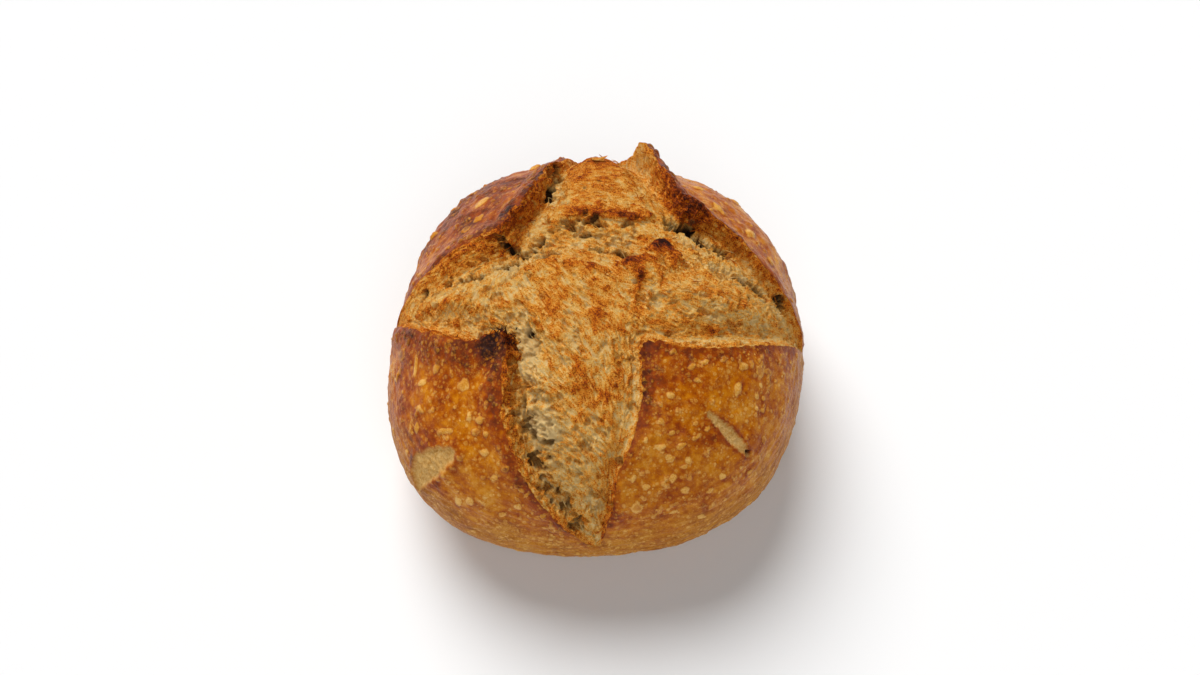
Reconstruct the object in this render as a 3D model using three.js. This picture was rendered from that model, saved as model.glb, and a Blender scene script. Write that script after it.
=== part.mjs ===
// A round sourdough loaf, baked free on a hearth stone.
// The dough was slashed twice, crosswise, so the crust opened into four quarters round a cross of torn
// crumb. Each quarter's rim has curled up, and inside the rim the crumb dips before it swells again.
// Millimetres, +Z up. The origin is the middle of the flat base, and -Y is the front.
import * as THREE from "three";

// Driving dimensions.
const RADIUS = 112.8; // mean radius at the widest level
const HEIGHT = 130; // the smooth dome, before rims and crumb stand proud of it
const WIDEST_AT = 50; // height of the widest level
const DOME_POWER = 2.2; // 2 is an ellipse, and more is squarer
const FOOT_REACH = 1.12; // how far down the foot's curve would run, in WIDEST_ATs, if the base didn't cut it

// Departures of the outline from a circle, as shares of the radius: [cosine, sine] for 1, 2, 3 and 4 waves.
const OUTLINE_WAVES = [
  [0, -0.01],
  [-0.009, 0.015],
  [0.012, -0.008],
  [-0.028, 0.008],
];

// Mesh fineness.
const COARSE_GRID = 12; // cells along each side of the square that is wrapped over the loaf to start with
const CRUST_EDGE = 14; // the longest edge allowed on plain crust
const CRUMB_EDGE = 10;
const TORN_EDGE = 4.5; // and at the rim and the tears
const COARSENING = 2.2; // the distance from there over which the allowed edge grows by a millimetre
const SNAP = 0.7; // vertices this near the rim move onto it
const PROFILE_STEPS = 200;
const RIM_STEPS = 480;

// The rim of the opening, anticlockwise round it from the front tip. A place is measured along the crust from
// the crown, to the right and to the back. Then come how far the rim stands up, how wide the torn face
// inside it is, and how deep the crumb dips at the foot of that face.
const RIM = [
  { at: [1, -150], lift: 0.3, face: 3, dip: 0.5 }, // front tip
  { at: [7, -134], lift: 0.8, face: 3, dip: 1.5 },
  { at: [10, -113], lift: 1.2, face: 3, dip: 2 },
  { at: [18, -86], lift: 1.2, face: 3, dip: 1 },
  { at: [22, -60], lift: 1, face: 3, dip: 0.5 },
  { at: [22, -40], lift: 1.5, face: 3, dip: 0.5 },
  { at: [26, -35], lift: 2, face: 3, dip: 0.5 }, // corner of the right front quarter
  { at: [50, -36], lift: 1, face: 3, dip: 1 },
  { at: [80, -30], lift: 1, face: 3, dip: 1 },
  { at: [112, -19], lift: 0.8, face: 3, dip: 1.5 },
  { at: [138, -9], lift: 0.5, face: 3, dip: 1.5 }, // right tip
  { at: [118, 4], lift: 2.5, face: 5, dip: 5 },
  { at: [96, 16], lift: 4.5, face: 6, dip: 7 },
  { at: [76, 28], lift: 6, face: 7, dip: 8 },
  { at: [58, 38], lift: 7.5, face: 8, dip: 7 },
  { at: [49, 44], lift: 8, face: 9, dip: 5 }, // corner of the right back quarter
  { at: [41, 56], lift: 7, face: 9, dip: 3 },
  { at: [34, 76], lift: 8, face: 8, dip: 3 },
  { at: [27, 102], lift: 11, face: 7, dip: 4 }, // spike
  { at: [19, 124], lift: 4, face: 6, dip: 4 },
  { at: [3, 148], lift: 0.5, face: 4, dip: 1.5 }, // back tip
  { at: [-14, 120], lift: 4, face: 6, dip: 4 },
  { at: [-20, 92], lift: 6, face: 7, dip: 5 },
  { at: [-28, 67], lift: 7, face: 7, dip: 5 },
  { at: [-33, 49], lift: 7, face: 8, dip: 4 },
  { at: [-42, 36], lift: 8, face: 9, dip: 4 },
  { at: [-48, 25], lift: 6.5, face: 9, dip: 4 }, // corner of the left back quarter
  { at: [-64, 24], lift: 5, face: 9, dip: 2 },
  { at: [-86, 18], lift: 3, face: 8, dip: 1 },
  { at: [-114, 13], lift: 1.5, face: 6, dip: 1 },
  { at: [-146, 8], lift: 0.5, face: 4, dip: 1 }, // left tip
  { at: [-120, -3], lift: 3.5, face: 5, dip: 2 },
  { at: [-92, -19], lift: 4, face: 6, dip: 2 },
  { at: [-64, -30], lift: 5, face: 6, dip: 2 },
  { at: [-47, -33], lift: 6, face: 7, dip: 3 }, // corner of the left front quarter
  { at: [-40, -39], lift: 6, face: 8, dip: 4 },
  { at: [-43, -58], lift: 4.5, face: 9, dip: 6 },
  { at: [-39, -85], lift: 4, face: 8, dip: 7 },
  { at: [-28, -108], lift: 3, face: 6, dip: 7 },
  { at: [-13, -131], lift: 1.5, face: 5, dip: 4 },
];
const LIFT_REACH = 13; // how far back from the rim its curl starts
const DIP_REACH = 12; // how far in from the torn face the dip ends

// Swellings of the crumb.
const SWELLINGS = [
  { at: [-4, -26], reach: [20, 34], rise: 4 }, // front tongue
  { at: [60, -8], reach: [32, 17], rise: 4.5 }, // right arm
  { at: [3, 72], reach: [22, 26], rise: 4 }, // back arm
  { at: [-76, -3], reach: [32, 13], rise: 2.5 }, // left arm
];

// Tears in the crumb, each a line with how far it stands out, and how far that spreads to the left and to the
// right of somebody walking along it.
const TEARS = [
  // The back arm ends in a lip over the valley.
  { line: [[-24, 31], [-8, 39], [2, 39], [21, 37], [33, 42]], rise: 4.5, left: 16, right: 2.5 },
  // The valley behind the crown.
  { line: [[-44, 20], [-12, 23], [2, 20], [14, 18], [24, 27]], rise: -5, left: 7, right: 6 },
  // The front tongue ends in a lip behind the crown, with a peak at its right end.
  {
    line: [[44, 8], [37, 16], [30, 20], [22, 10], [8, 4], [-6, 12], [-25, 10], [-38, 2]],
    rise: 4,
    left: 14,
    right: 3,
  },
  // The pale hollow along the tongue's left side.
  {
    line: [[-43, -8], [-31, -28], [-27, -50], [-28, -72], [-16, -104], [-2, -130]],
    rise: -4,
    left: 6,
    right: 8,
  },
  // The furrow between the tongue and the right arm, and its turn along the right front quarter.
  { line: [[20, 6], [20, -8], [16, -25], [21, -36]], rise: -2.5, left: 4, right: 3 },
  { line: [[16, -24], [39, -31], [70, -26], [98, -18]], rise: -2.5, left: 4, right: 3 },
];
const TEAR_TAPER = 12; // a tear fades out over this length at both ends

const smooth = (t) => t * t * (3 - 2 * t);
const step = (from, to, x) => smooth(THREE.MathUtils.clamp((x - from) / (to - from), 0, 1));
const bell = (x) => Math.exp(-x * x);

// The loaf's side outline from the crown to the edge of the base, with the distance along it.
function makeProfile() {
  const points = [];
  const power = 2 / DOME_POWER;
  for (let i = 0; i <= PROFILE_STEPS; i++) {
    const turn = (i / PROFILE_STEPS) * (Math.PI / 2);
    points.push([
      RADIUS * Math.sin(turn) ** power,
      WIDEST_AT + (HEIGHT - WIDEST_AT) * Math.cos(turn) ** power,
    ]);
  }
  const footTurn = Math.asin((1 / FOOT_REACH) ** (1 / power));
  for (let i = 1; i <= PROFILE_STEPS; i++) {
    const turn = (i / PROFILE_STEPS) * footTurn;
    points.push([
      RADIUS * Math.cos(turn) ** power,
      WIDEST_AT * (1 - FOOT_REACH * Math.sin(turn) ** power),
    ]);
  }
  let length = 0;
  return points.map(([r, z], i) => {
    if (i) length += Math.hypot(r - points[i - 1][0], z - points[i - 1][1]);
    return { length, r, z: Math.max(z, 0) };
  });
}

const profile = makeProfile();
const SKIN = profile.at(-1).length; // along the crust from the crown to the base

function profileAt(length) {
  const wanted = THREE.MathUtils.clamp(length, 0, SKIN);
  let low = 0;
  let high = profile.length - 1;
  while (high - low > 1) {
    const middle = (low + high) >> 1;
    if (profile[middle].length <= wanted) low = middle;
    else high = middle;
  }
  const [a, b] = [profile[low], profile[high]];
  const share = (wanted - a.length) / (b.length - a.length);
  return [a.r + (b.r - a.r) * share, a.z + (b.z - a.z) * share];
}

function outline(angle) {
  return OUTLINE_WAVES.reduce(
    (sum, [c, s], i) => sum + c * Math.cos((i + 1) * angle) + s * Math.sin((i + 1) * angle),
    1,
  );
}

// The smooth loaf at a place measured along the crust.
function smoothPoint(x, y) {
  const angle = Math.atan2(y, x);
  const [r, z] = profileAt(Math.hypot(x, y));
  const wide = r * outline(angle);
  return new THREE.Vector3(wide * Math.cos(angle), wide * Math.sin(angle), z);
}

function outwardAt(x, y) {
  const h = 1;
  const alongX = smoothPoint(x + h, y).sub(smoothPoint(x - h, y));
  const alongY = smoothPoint(x, y + h).sub(smoothPoint(x, y - h));
  return alongX.cross(alongY).normalize();
}

// The rim as a closed line of short steps, each with its own lift, face and dip.
function makeRim() {
  const places = RIM.map(({ at }) => new THREE.Vector3(at[0], at[1], 0));
  const curve = new THREE.CatmullRomCurve3(places, true, "centripetal");
  const steps = [];
  for (let i = 0; i < RIM_STEPS; i++) {
    const along = (i / RIM_STEPS) * RIM.length;
    const before = Math.floor(along);
    const [a, b] = [RIM[before], RIM[(before + 1) % RIM.length]];
    const share = smooth(along - before);
    const mixed = (name) => a[name] + (b[name] - a[name]) * share;
    const { x, y } = curve.getPoint(i / RIM_STEPS);
    steps.push({ x, y, lift: mixed("lift"), face: mixed("face"), dip: mixed("dip") });
  }
  return steps;
}

const rim = makeRim();

// The foot of a point on the piece of line from a to b, as a share of that piece, with the distance to it.
// The side is positive to the left of the line.
function footOn(a, b, x, y) {
  const [dx, dy] = [b.x - a.x, b.y - a.y];
  const along = ((x - a.x) * dx + (y - a.y) * dy) / (dx * dx + dy * dy);
  const share = THREE.MathUtils.clamp(along, 0, 1);
  const distance = Math.hypot(x - a.x - share * dx, y - a.y - share * dy);
  return { share, distance, side: dx * (y - a.y) - dy * (x - a.x) };
}

// The nearest place on the rim, and how far inside the opening a point lies: negative on the crust.
function rimAt(x, y) {
  let nearest = Infinity;
  let found = null;
  let inside = false;
  rim.forEach((a, i) => {
    const b = rim[(i + 1) % rim.length];
    const { share, distance } = footOn(a, b, x, y);
    if (distance < nearest) {
      nearest = distance;
      const foot = [a.x + share * (b.x - a.x), a.y + share * (b.y - a.y)];
      found = { lift: a.lift, face: a.face, dip: a.dip, foot };
    }
    if (a.y > y !== b.y > y && x < a.x + ((y - a.y) / (b.y - a.y)) * (b.x - a.x)) inside = !inside;
  });
  return { ...found, within: inside ? nearest : -nearest };
}

// The tears as lines of points, each with its distance from the line's nearer end.
const tears = TEARS.map(({ line, ...tear }) => {
  const places = line.map(([x, y]) => new THREE.Vector3(x, y, 0));
  const curve = new THREE.CatmullRomCurve3(places, false, "centripetal");
  const total = curve.getLength();
  const points = curve.getSpacedPoints(Math.ceil(total / TORN_EDGE));
  const reached = (i) => (i / (points.length - 1)) * total;
  return {
    ...tear,
    points: points.map(({ x, y }, i) => ({ x, y, end: Math.min(reached(i), total - reached(i)) })),
  };
});

// How far a tear lifts a point, and how far off the tear runs.
function tearAt({ points, rise, left, right }, x, y) {
  let nearest = { distance: Infinity };
  points.slice(1).forEach((b, i) => {
    const a = points[i];
    const foot = footOn(a, b, x, y);
    if (foot.distance < nearest.distance) {
      nearest = { ...foot, end: a.end + foot.share * (b.end - a.end) };
    }
  });
  const reach = nearest.side > 0 ? left : right;
  return {
    lift: rise * step(0, TEAR_TAPER, nearest.end) * bell(nearest.distance / reach),
    distance: nearest.distance,
  };
}

// How far the real surface stands out from the smooth loaf.
function standOut({ x, y, within, lift, face, dip }) {
  if (within < 0) return lift * bell(within / LIFT_REACH);
  const swell = SWELLINGS.reduce(
    (sum, { at, reach, rise }) =>
      sum + rise * bell(Math.hypot((x - at[0]) / reach[0], (y - at[1]) / reach[1])),
    0,
  );
  const torn = tears.reduce((sum, tear) => sum + tearAt(tear, x, y).lift, 0);
  const fall = THREE.MathUtils.lerp(lift, -dip, step(0, face, within));
  return THREE.MathUtils.lerp(fall, swell + torn, step(face, face + DIP_REACH, within));
}

function loafPoint(place) {
  return smoothPoint(place.x, place.y).addScaledVector(outwardAt(place.x, place.y), standOut(place));
}

// A place in a square of cells, wrapped into the disc of skin lengths with no corner and no pole.
function discPlace(u, v) {
  if (!u && !v) return [0, 0];
  const wide = Math.abs(u) > Math.abs(v);
  const [size, other] = wide ? [u, v] : [v, u];
  const turn = (Math.PI / 4) * (other / size);
  const [near, far] = [size * SKIN * Math.cos(turn), size * SKIN * Math.sin(turn)];
  return wide ? [near, far] : [far, near];
}

// A triangle mesh of places on the crust, which is made finer by cutting edges.
const places = [];
let faces = [];

const edgeName = (a, b) => (a < b ? `${a},${b}` : `${b},${a}`);
const cornerTurns = ([a, b, c]) => [[a, b, c], [b, c, a], [c, a, b]];

function addPlace(x, y) {
  places.push({ x, y, smooth: smoothPoint(x, y), ...rimAt(x, y) });
  return places.length - 1;
}

const edgeLength = (a, b) => places[a].smooth.distanceTo(places[b].smooth);

function longestFirst(face) {
  return cornerTurns(face).sort((p, q) => edgeLength(q[0], q[1]) - edgeLength(p[0], p[1]));
}

// Cuts a face at its marked edges, the longest first, so that neighbours always meet at whole edges.
function cutFace(face, marks) {
  const turned = longestFirst(face).find(([a, b]) => marks.has(edgeName(a, b)));
  if (!turned) return [face];
  const [a, b, c] = turned;
  const middle = marks.get(edgeName(a, b));
  return [...cutFace([a, middle, c], marks), ...cutFace([middle, b, c], marks)];
}

function cutAll(marks) {
  faces = faces.flatMap((face) => cutFace(face, marks));
}

// The longest edge allowed round a place: short where the rim or a tear bends the surface.
function wantedEdge({ x, y, within, face }) {
  const offRim = Math.max(-within, within - face, 0);
  if (within < 0) return Math.min(CRUST_EDGE, TORN_EDGE + offRim / COARSENING);
  const offTear = Math.min(...tears.map((tear) => tearAt(tear, x, y).distance));
  return Math.min(CRUMB_EDGE, TORN_EDGE + offRim / COARSENING, TORN_EDGE + 2 * offTear / COARSENING);
}

// Halves the longest edge of every face that is too coarse, and of every face that a cut edge touches.
function refineOnce() {
  const marks = new Map();
  const mark = (a, b) => {
    const { x, y } = places[a];
    marks.set(edgeName(a, b), addPlace((x + places[b].x) / 2, (y + places[b].y) / 2));
  };
  const longest = faces.map((face) => longestFirst(face)[0]);
  longest.forEach(([a, b]) => {
    const wanted = Math.min(wantedEdge(places[a]), wantedEdge(places[b]));
    if (!marks.has(edgeName(a, b)) && edgeLength(a, b) > wanted) mark(a, b);
  });
  for (let before = -1; before !== marks.size; ) {
    before = marks.size;
    faces.forEach((face, i) => {
      const [a, b] = longest[i];
      const touched = cornerTurns(face).some(([p, q]) => marks.has(edgeName(p, q)));
      if (touched && !marks.has(edgeName(a, b))) mark(a, b);
    });
  }
  cutAll(marks);
  return marks.size > 0;
}

// Puts an edge of the mesh all along the rim, so that the rim is crisp.
function followRim() {
  for (const place of places) {
    if (Math.abs(place.within) > SNAP) continue;
    [place.x, place.y] = place.foot;
    place.within = 0;
  }
  const marks = new Map();
  for (const [a, b] of faces.flatMap(cornerTurns)) {
    const [p, q] = [places[a], places[b]];
    if (p.within * q.within >= 0 || marks.has(edgeName(a, b))) continue;
    const share = p.within / (p.within - q.within);
    const index = addPlace(p.x + share * (q.x - p.x), p.y + share * (q.y - p.y));
    places[index].within = 0;
    marks.set(edgeName(a, b), index);
  }
  cutAll(marks);
}

// One closed body. The wrapped square is the crust and crumb, and a fan from its middle is the flat base.
function loafGeometry() {
  const side = COARSE_GRID + 1;
  const index = (i, j) => j * side + i;
  for (let j = 0; j < side; j++) {
    for (let i = 0; i < side; i++) {
      addPlace(...discPlace((2 * i) / COARSE_GRID - 1, (2 * j) / COARSE_GRID - 1));
    }
  }
  for (let j = 0; j < COARSE_GRID; j++) {
    for (let i = 0; i < COARSE_GRID; i++) {
      const [a, b, c, d] = [index(i, j), index(i + 1, j), index(i + 1, j + 1), index(i, j + 1)];
      // The diagonal points at the crown in all four quarters of the square.
      const towards = i < COARSE_GRID / 2 === j < COARSE_GRID / 2;
      faces.push(...(towards ? [[a, b, c], [a, c, d]] : [[a, b, d], [b, c, d]]));
    }
  }
  while (refineOnce());
  followRim();

  // The base closes every edge that only one face has.
  const owners = new Map();
  for (const [a, b] of faces.flatMap(cornerTurns)) {
    const name = edgeName(a, b);
    owners.set(name, owners.has(name) ? null : [a, b]);
  }
  const open = [...owners.values()].filter(Boolean);
  const foot = new Set(open.flat());
  const positions = places.flatMap((place, i) => {
    const point = foot.has(i) ? smoothPoint(place.x, place.y).setZ(0) : loafPoint(place);
    return point.toArray();
  });
  const middle = places.length;
  positions.push(0, 0, 0);
  faces.push(...open.map(([a, b]) => [middle, b, a]));

  const geometry = new THREE.BufferGeometry();
  geometry.setAttribute("position", new THREE.Float32BufferAttribute(positions, 3));
  geometry.setIndex(faces.flat());
  geometry.computeVertexNormals();
  return geometry;
}

const crust = new THREE.MeshStandardMaterial({ color: 0xb9752e, roughness: 0.6, metalness: 0 });
const loaf = new THREE.Mesh(loafGeometry(), crust);
loaf.name = "loaf";

const group = new THREE.Group();
group.add(loaf);
export default group;
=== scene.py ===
# A round sourdough loaf, slashed crosswise so that it opened in the oven, on a plain pale floor.
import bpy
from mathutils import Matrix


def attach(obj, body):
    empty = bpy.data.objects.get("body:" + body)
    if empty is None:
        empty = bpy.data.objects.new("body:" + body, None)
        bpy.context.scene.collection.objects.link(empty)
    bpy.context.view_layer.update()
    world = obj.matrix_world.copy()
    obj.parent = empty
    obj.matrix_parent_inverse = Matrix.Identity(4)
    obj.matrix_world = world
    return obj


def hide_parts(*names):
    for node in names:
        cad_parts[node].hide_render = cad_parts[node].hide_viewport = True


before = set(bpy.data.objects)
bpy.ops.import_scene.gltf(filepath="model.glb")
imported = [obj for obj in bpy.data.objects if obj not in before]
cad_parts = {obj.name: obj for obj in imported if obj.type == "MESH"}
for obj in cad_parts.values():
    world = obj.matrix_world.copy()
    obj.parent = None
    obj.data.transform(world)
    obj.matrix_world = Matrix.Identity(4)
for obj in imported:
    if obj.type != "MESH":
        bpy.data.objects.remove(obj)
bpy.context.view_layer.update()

import copy
import itertools
import math

import bpy
import numpy as np
from mathutils import Vector

MM = 0.001  # the shape is worked out in millimetres, and the scene is in metres

# ---------------------------------------------------------------------------------------------------------
# The smooth loaf
# ---------------------------------------------------------------------------------------------------------

RADIUS = 112.8  # mean radius at the widest level
HEIGHT = 130.0  # the smooth dome, before rims and crumb stand proud of it
WIDEST_AT = 50.0  # height of the widest level
DOME_POWER = 2.2  # 2 is an ellipse, and more is squarer
FOOT_REACH = 1.12  # how far down the foot's curve would run, in WIDEST_ATs, if the base didn't cut it
BASE_MIDDLE = 8.0  # the base's mesh stops this far from its middle, and a fan closes it
PROFILE_STEPS = 400  # in the dome's curve, and again in the foot's
# How much the outline swells in 1, 2, 3 and 4 waves round the loaf, as cosine and sine.
OUTLINE_WAVES = ((0, -0.010), (-0.009, 0.015), (0.012, -0.008), (-0.028, 0.008))

# The rim of the opening, anticlockwise round it from the front tip. Here and below, x and y are measured
# along the crust from the crown, to the right and to the back.
#   lift   how far the rim stands up
#   curl   how far back from the rim its curl starts
#   face   how wide the torn face inside the rim is
#   under  how far the foot of that face is tucked back under the rim
#   dip    how deep the crumb lies at the foot of the face
#   bake   how dark the torn face baked, on the crumb's scale of shades
#   burn   how much darker the crust baked at the rim
#   band   how far back over the crust that darkness reaches
RIM = (
    # x, y, lift, curl, face, under, dip, bake, burn, band
    (1, -150, 0.3, 8, 3, 0, 0.5, 0.40, 0.15, 3),  # front tip
    (6, -135, 0.8, 8, 3, 0, 1.5, 0.60, 0.45, 3),
    (10, -118, 1.6, 8, 3, 0.5, 2.5, 0.68, 0.60, 3),
    (12, -101, 1.6, 9, 3, 0.5, 2.0, 0.60, 0.45, 3),
    (18, -86, 0.8, 12, 3, 0.5, 1.0, 0.40, 0.25, 5),
    (22, -66, 0.8, 12, 3, 0.5, 0.8, 0.42, 0.68, 9),
    (22, -48, 1.0, 12, 3, 0.5, 0.8, 0.46, 0.80, 10),
    (21, -38, 1.4, 12, 3, 0.5, 0.8, 0.48, 0.92, 12),
    (26, -34, 1.6, 12, 3, 0, 1.2, 0.48, 0.98, 13),  # corner of the right front quarter
    (40, -36, 1.2, 12, 5, 0, 1.8, 0.42, 0.62, 6),
    (62, -34, 1.0, 12, 6, 0, 2.0, 0.38, 0.50, 5),
    (88, -27, 1.0, 12, 5, 0, 2.0, 0.38, 0.45, 4),
    (114, -18, 0.8, 12, 4, 0, 1.5, 0.34, 0.40, 4),
    (138, -8, 0.5, 12, 3, 0, 1.5, 0.40, 0.25, 4),  # right tip
    (120, 3, 2.5, 10, 2.5, 1, 2.5, 0.52, 0.35, 4),
    (104, 11, 4.0, 9, 2.5, 1.5, 3.0, 0.54, 0.40, 4),
    (89, 19, 5.5, 8, 2.5, 1.5, 3.0, 0.55, 0.42, 4),
    (74, 29, 6.5, 8, 3, 2, 3.5, 0.58, 0.50, 4),
    (60, 37, 7.5, 8, 4, 3, 4.5, 0.68, 0.60, 4),
    (50, 43, 9.5, 8, 7.5, 4, 6.0, 0.84, 0.90, 5),  # corner of the right back quarter
    (42, 54, 8.0, 7, 8, 3, 4.0, 0.82, 0.80, 6),
    (35, 72, 9.0, 7, 7, 3, 3.0, 0.62, 0.75, 7),
    (30, 88, 11.5, 7, 5.5, 3, 3.0, 0.46, 0.80, 7),
    (25.5, 97, 15.0, 6, 4, 3, 3.0, 0.38, 0.80, 7),  # spike
    (19, 112, 4.0, 8, 3.5, 2, 3.0, 0.40, 0.60, 8),
    (4, 147, 0.5, 12, 4, 0, 1.5, 0.40, 0.30, 4),  # back tip
    (-12, 124, 2.0, 11, 5, 2, 0.5, 0.45, 0.50, 6),
    (-18, 98, 3.5, 10, 5, 2, 1.2, 0.54, 0.70, 4),
    (-26, 74, 6.5, 9, 6, 3, 5.5, 0.57, 0.75, 4),
    (-33, 50, 8.0, 9, 7, 3, 5.5, 0.66, 0.90, 6),
    (-41, 38, 8.5, 9, 8, 3, 5.0, 0.72, 1.00, 8),
    (-47, 30, 8.0, 10, 12, 3, 6.0, 0.66, 0.70, 5),  # corner of the left back quarter
    (-61, 29, 6.0, 11, 15, 2, 4.5, 0.60, 0.50, 5),
    (-77, 25, 5.0, 11, 14, 1, 3.5, 0.56, 0.50, 6),
    (-96, 20, 4.0, 11, 11, 1, 1.5, 0.52, 0.50, 6),
    (-119, 15, 1.5, 12, 7, 0, 1.0, 0.50, 0.40, 5),
    (-146, 8, 0.5, 12, 3, 0, 1.0, 0.42, 0.25, 4),  # left tip
    (-120, -3, 3.0, 12, 5, 1, 2.0, 0.50, 0.50, 9),
    (-98, -16, 4.5, 11, 5, 1, 2.5, 0.54, 0.66, 14),
    (-76, -26, 5.0, 11, 5, 1, 3.0, 0.56, 0.68, 15),
    (-57, -32, 5.0, 11, 5, 1, 3.0, 0.62, 0.72, 14),
    (-47, -30, 7.5, 9, 5, 1, 3.5, 0.98, 1.00, 9),
    (-40, -33, 7.5, 9, 4, 1, 4.5, 0.80, 1.00, 8),  # corner of the left front quarter
    (-40, -42, 5.5, 10, 5, 1, 4.0, 0.60, 0.95, 9),
    (-43, -58, 5.0, 10, 8, 1, 4.5, 0.54, 0.75, 10),
    (-42, -74, 5.0, 10, 9, 1, 5.0, 0.52, 0.68, 8),
    (-38, -91, 4.5, 10, 8, 1.5, 5.5, 0.48, 0.60, 6),
    (-32, -107, 3.5, 9, 7, 1.5, 5.5, 0.45, 0.60, 4),
    (-22, -125, 2.5, 8, 6.5, 1, 5.0, 0.44, 0.50, 3),
    (-11, -140, 1.0, 8, 5, 0.5, 3.0, 0.46, 0.40, 3),
)
TIPS = (0, 13, 25, 36)  # rows of the front, right, back and left tips
DIP_REACH = 12.0  # how far in from the torn face the dip ends
RIM_STEP = 2.0
RIM_JAG = 0.35  # how ragged the rim is
BURNT_JAG = 1.5  # and how much more where it burnt
JAG_REACH = 12.0  # how far from the rim the mesh follows its rags
RIM_WAVER = 0.18  # by what share of itself the rim's lift wavers
WAVER_SIZE = 14.0

# Swellings of the crumb: x, y, reach along x, reach along y, rise.
SWELLINGS = (
    (-4, -26, 20, 34, 4.0),  # front tongue
    (60, -8, 32, 17, 4.5),  # right arm
    (3, 72, 22, 26, 4.0),  # back arm
    (-13, 101, 20, 13, 4.0),  # and its top
    (-76, -3, 32, 13, 2.5),  # left arm
)

# Tears in the crumb: the line, how far it stands out, how far that spreads to the left and to the right of
# somebody walking along it, and how much more the crumb toasted on the line.
TEARS = (
    # The back arm ends in a lip over the valley.
    (((-26, 30), (-15, 36), (-8, 39), (2, 39), (14, 37), (24, 37), (33, 42)), 2.8, 16, 2.4, 0.18),
    # The valley behind the crown.
    (((-44, 20), (-25, 23), (-12, 23), (2, 20), (14, 17), (24, 27)), -4.5, 7, 6, 0),
    # The front tongue ends in a lip behind the crown, with a peak at its right end.
    (((46, 6), (39, 14), (33, 20), (29, 18), (24, 11), (17, 8), (9, 5)), 5.0, 13, 1.8, 0.20),
    (((9, 5), (2, 1), (-6, 5), (-16, 6), (-25, 8), (-32, 6), (-40, 0)), 3.5, 12, 2.5, 0.14),
    # The crease that runs forward from the peak.
    (((23, 10), (22, 0), (20, -10), (18, -20), (16, -27)), 2.0, 8, 1.4, 0.20),
    (((24, 2), (24, -8), (22, -18), (19, -27)), -2.5, 1.8, 5, 0.10),
    # The pale hollows along the tongue's left side, and the ridge between them.
    (((-39, -12), (-32, -26), (-28, -40), (-27, -52)), -2.6, 6, 6, 0),
    (((-34, -64), (-28, -76), (-18, -101), (-5, -126)), -2.6, 6, 8, 0),
    (((-37, -54), (-30, -55), (-25, -58), (-14, -62)), 2.4, 2.5, 2.5, 0.26),
    # The furrow along the right front quarter.
    (((17, -25), (22, -30), (30, -31), (45, -32), (61, -30), (76, -25), (98, -16)), -2.6, 1.6, 4.0, 0.12),
    (((24, -26), (36, -28), (52, -27), (70, -22)), 1.2, 4.0, 2.0, 0.10),
    # Steps in the tongue and in the right and left arms.
    (((6, -62), (8, -76), (9, -92), (6, -104)), 1.8, 3, 6, 0.10),
    (((-36, -12), (-24, -28), (-15, -40), (-10, -48), (-16, -60)), 1.8, 10, 2.5, 0.14),
    (((-20, -20), (-11, -34), (-4, -46)), -1.6, 3, 3, -0.04),
    (((6, -28), (9, -40), (6, -50)), 1.0, 3, 2, 0.14),
    (((30, -8), (50, -12), (72, -10), (92, -12)), 1.0, 8, 4, 0.06),
    (((26, -11), (34, -8), (51, -8), (66, -12), (72, -18)), 1.4, 2, 6, 0.12),
    (((-110, 2), (-90, -6), (-70, -8), (-52, -16)), 1.2, 6, 3, 0.10),
    (((-100, 2), (-84, 1), (-70, 5), (-56, 8)), -1.8, 4, 4, -0.06),
    (((-92, -6), (-80, -9), (-66, -10), (-54, -18)), 1.6, 4, 2, 0.08),
)
TEAR_TAPER = 9.0  # a tear fades out over this length at both ends
TEAR_STEP = 3.0
TOASTED_REACH = (2.5, 1.6)  # how far to the left and right of its line a tear is toasted

# Smooth pale pillows of crumb between the strands: x, y, length, width, the way the length runs, rise.
PILLOWS = (
    (-29, -45, 34, 13, -68, 1.8),
    (-26, -72, 27, 14, -64, 2.0),
    (-3, -118, 13, 9, 60, 1.2),
    (60, -12, 9, 8, 0, 0.8),
    (-21, 72, 26, 6, 84, 1.0),
    (-84, -2, 11, 7, 20, 0.8),
)

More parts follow.
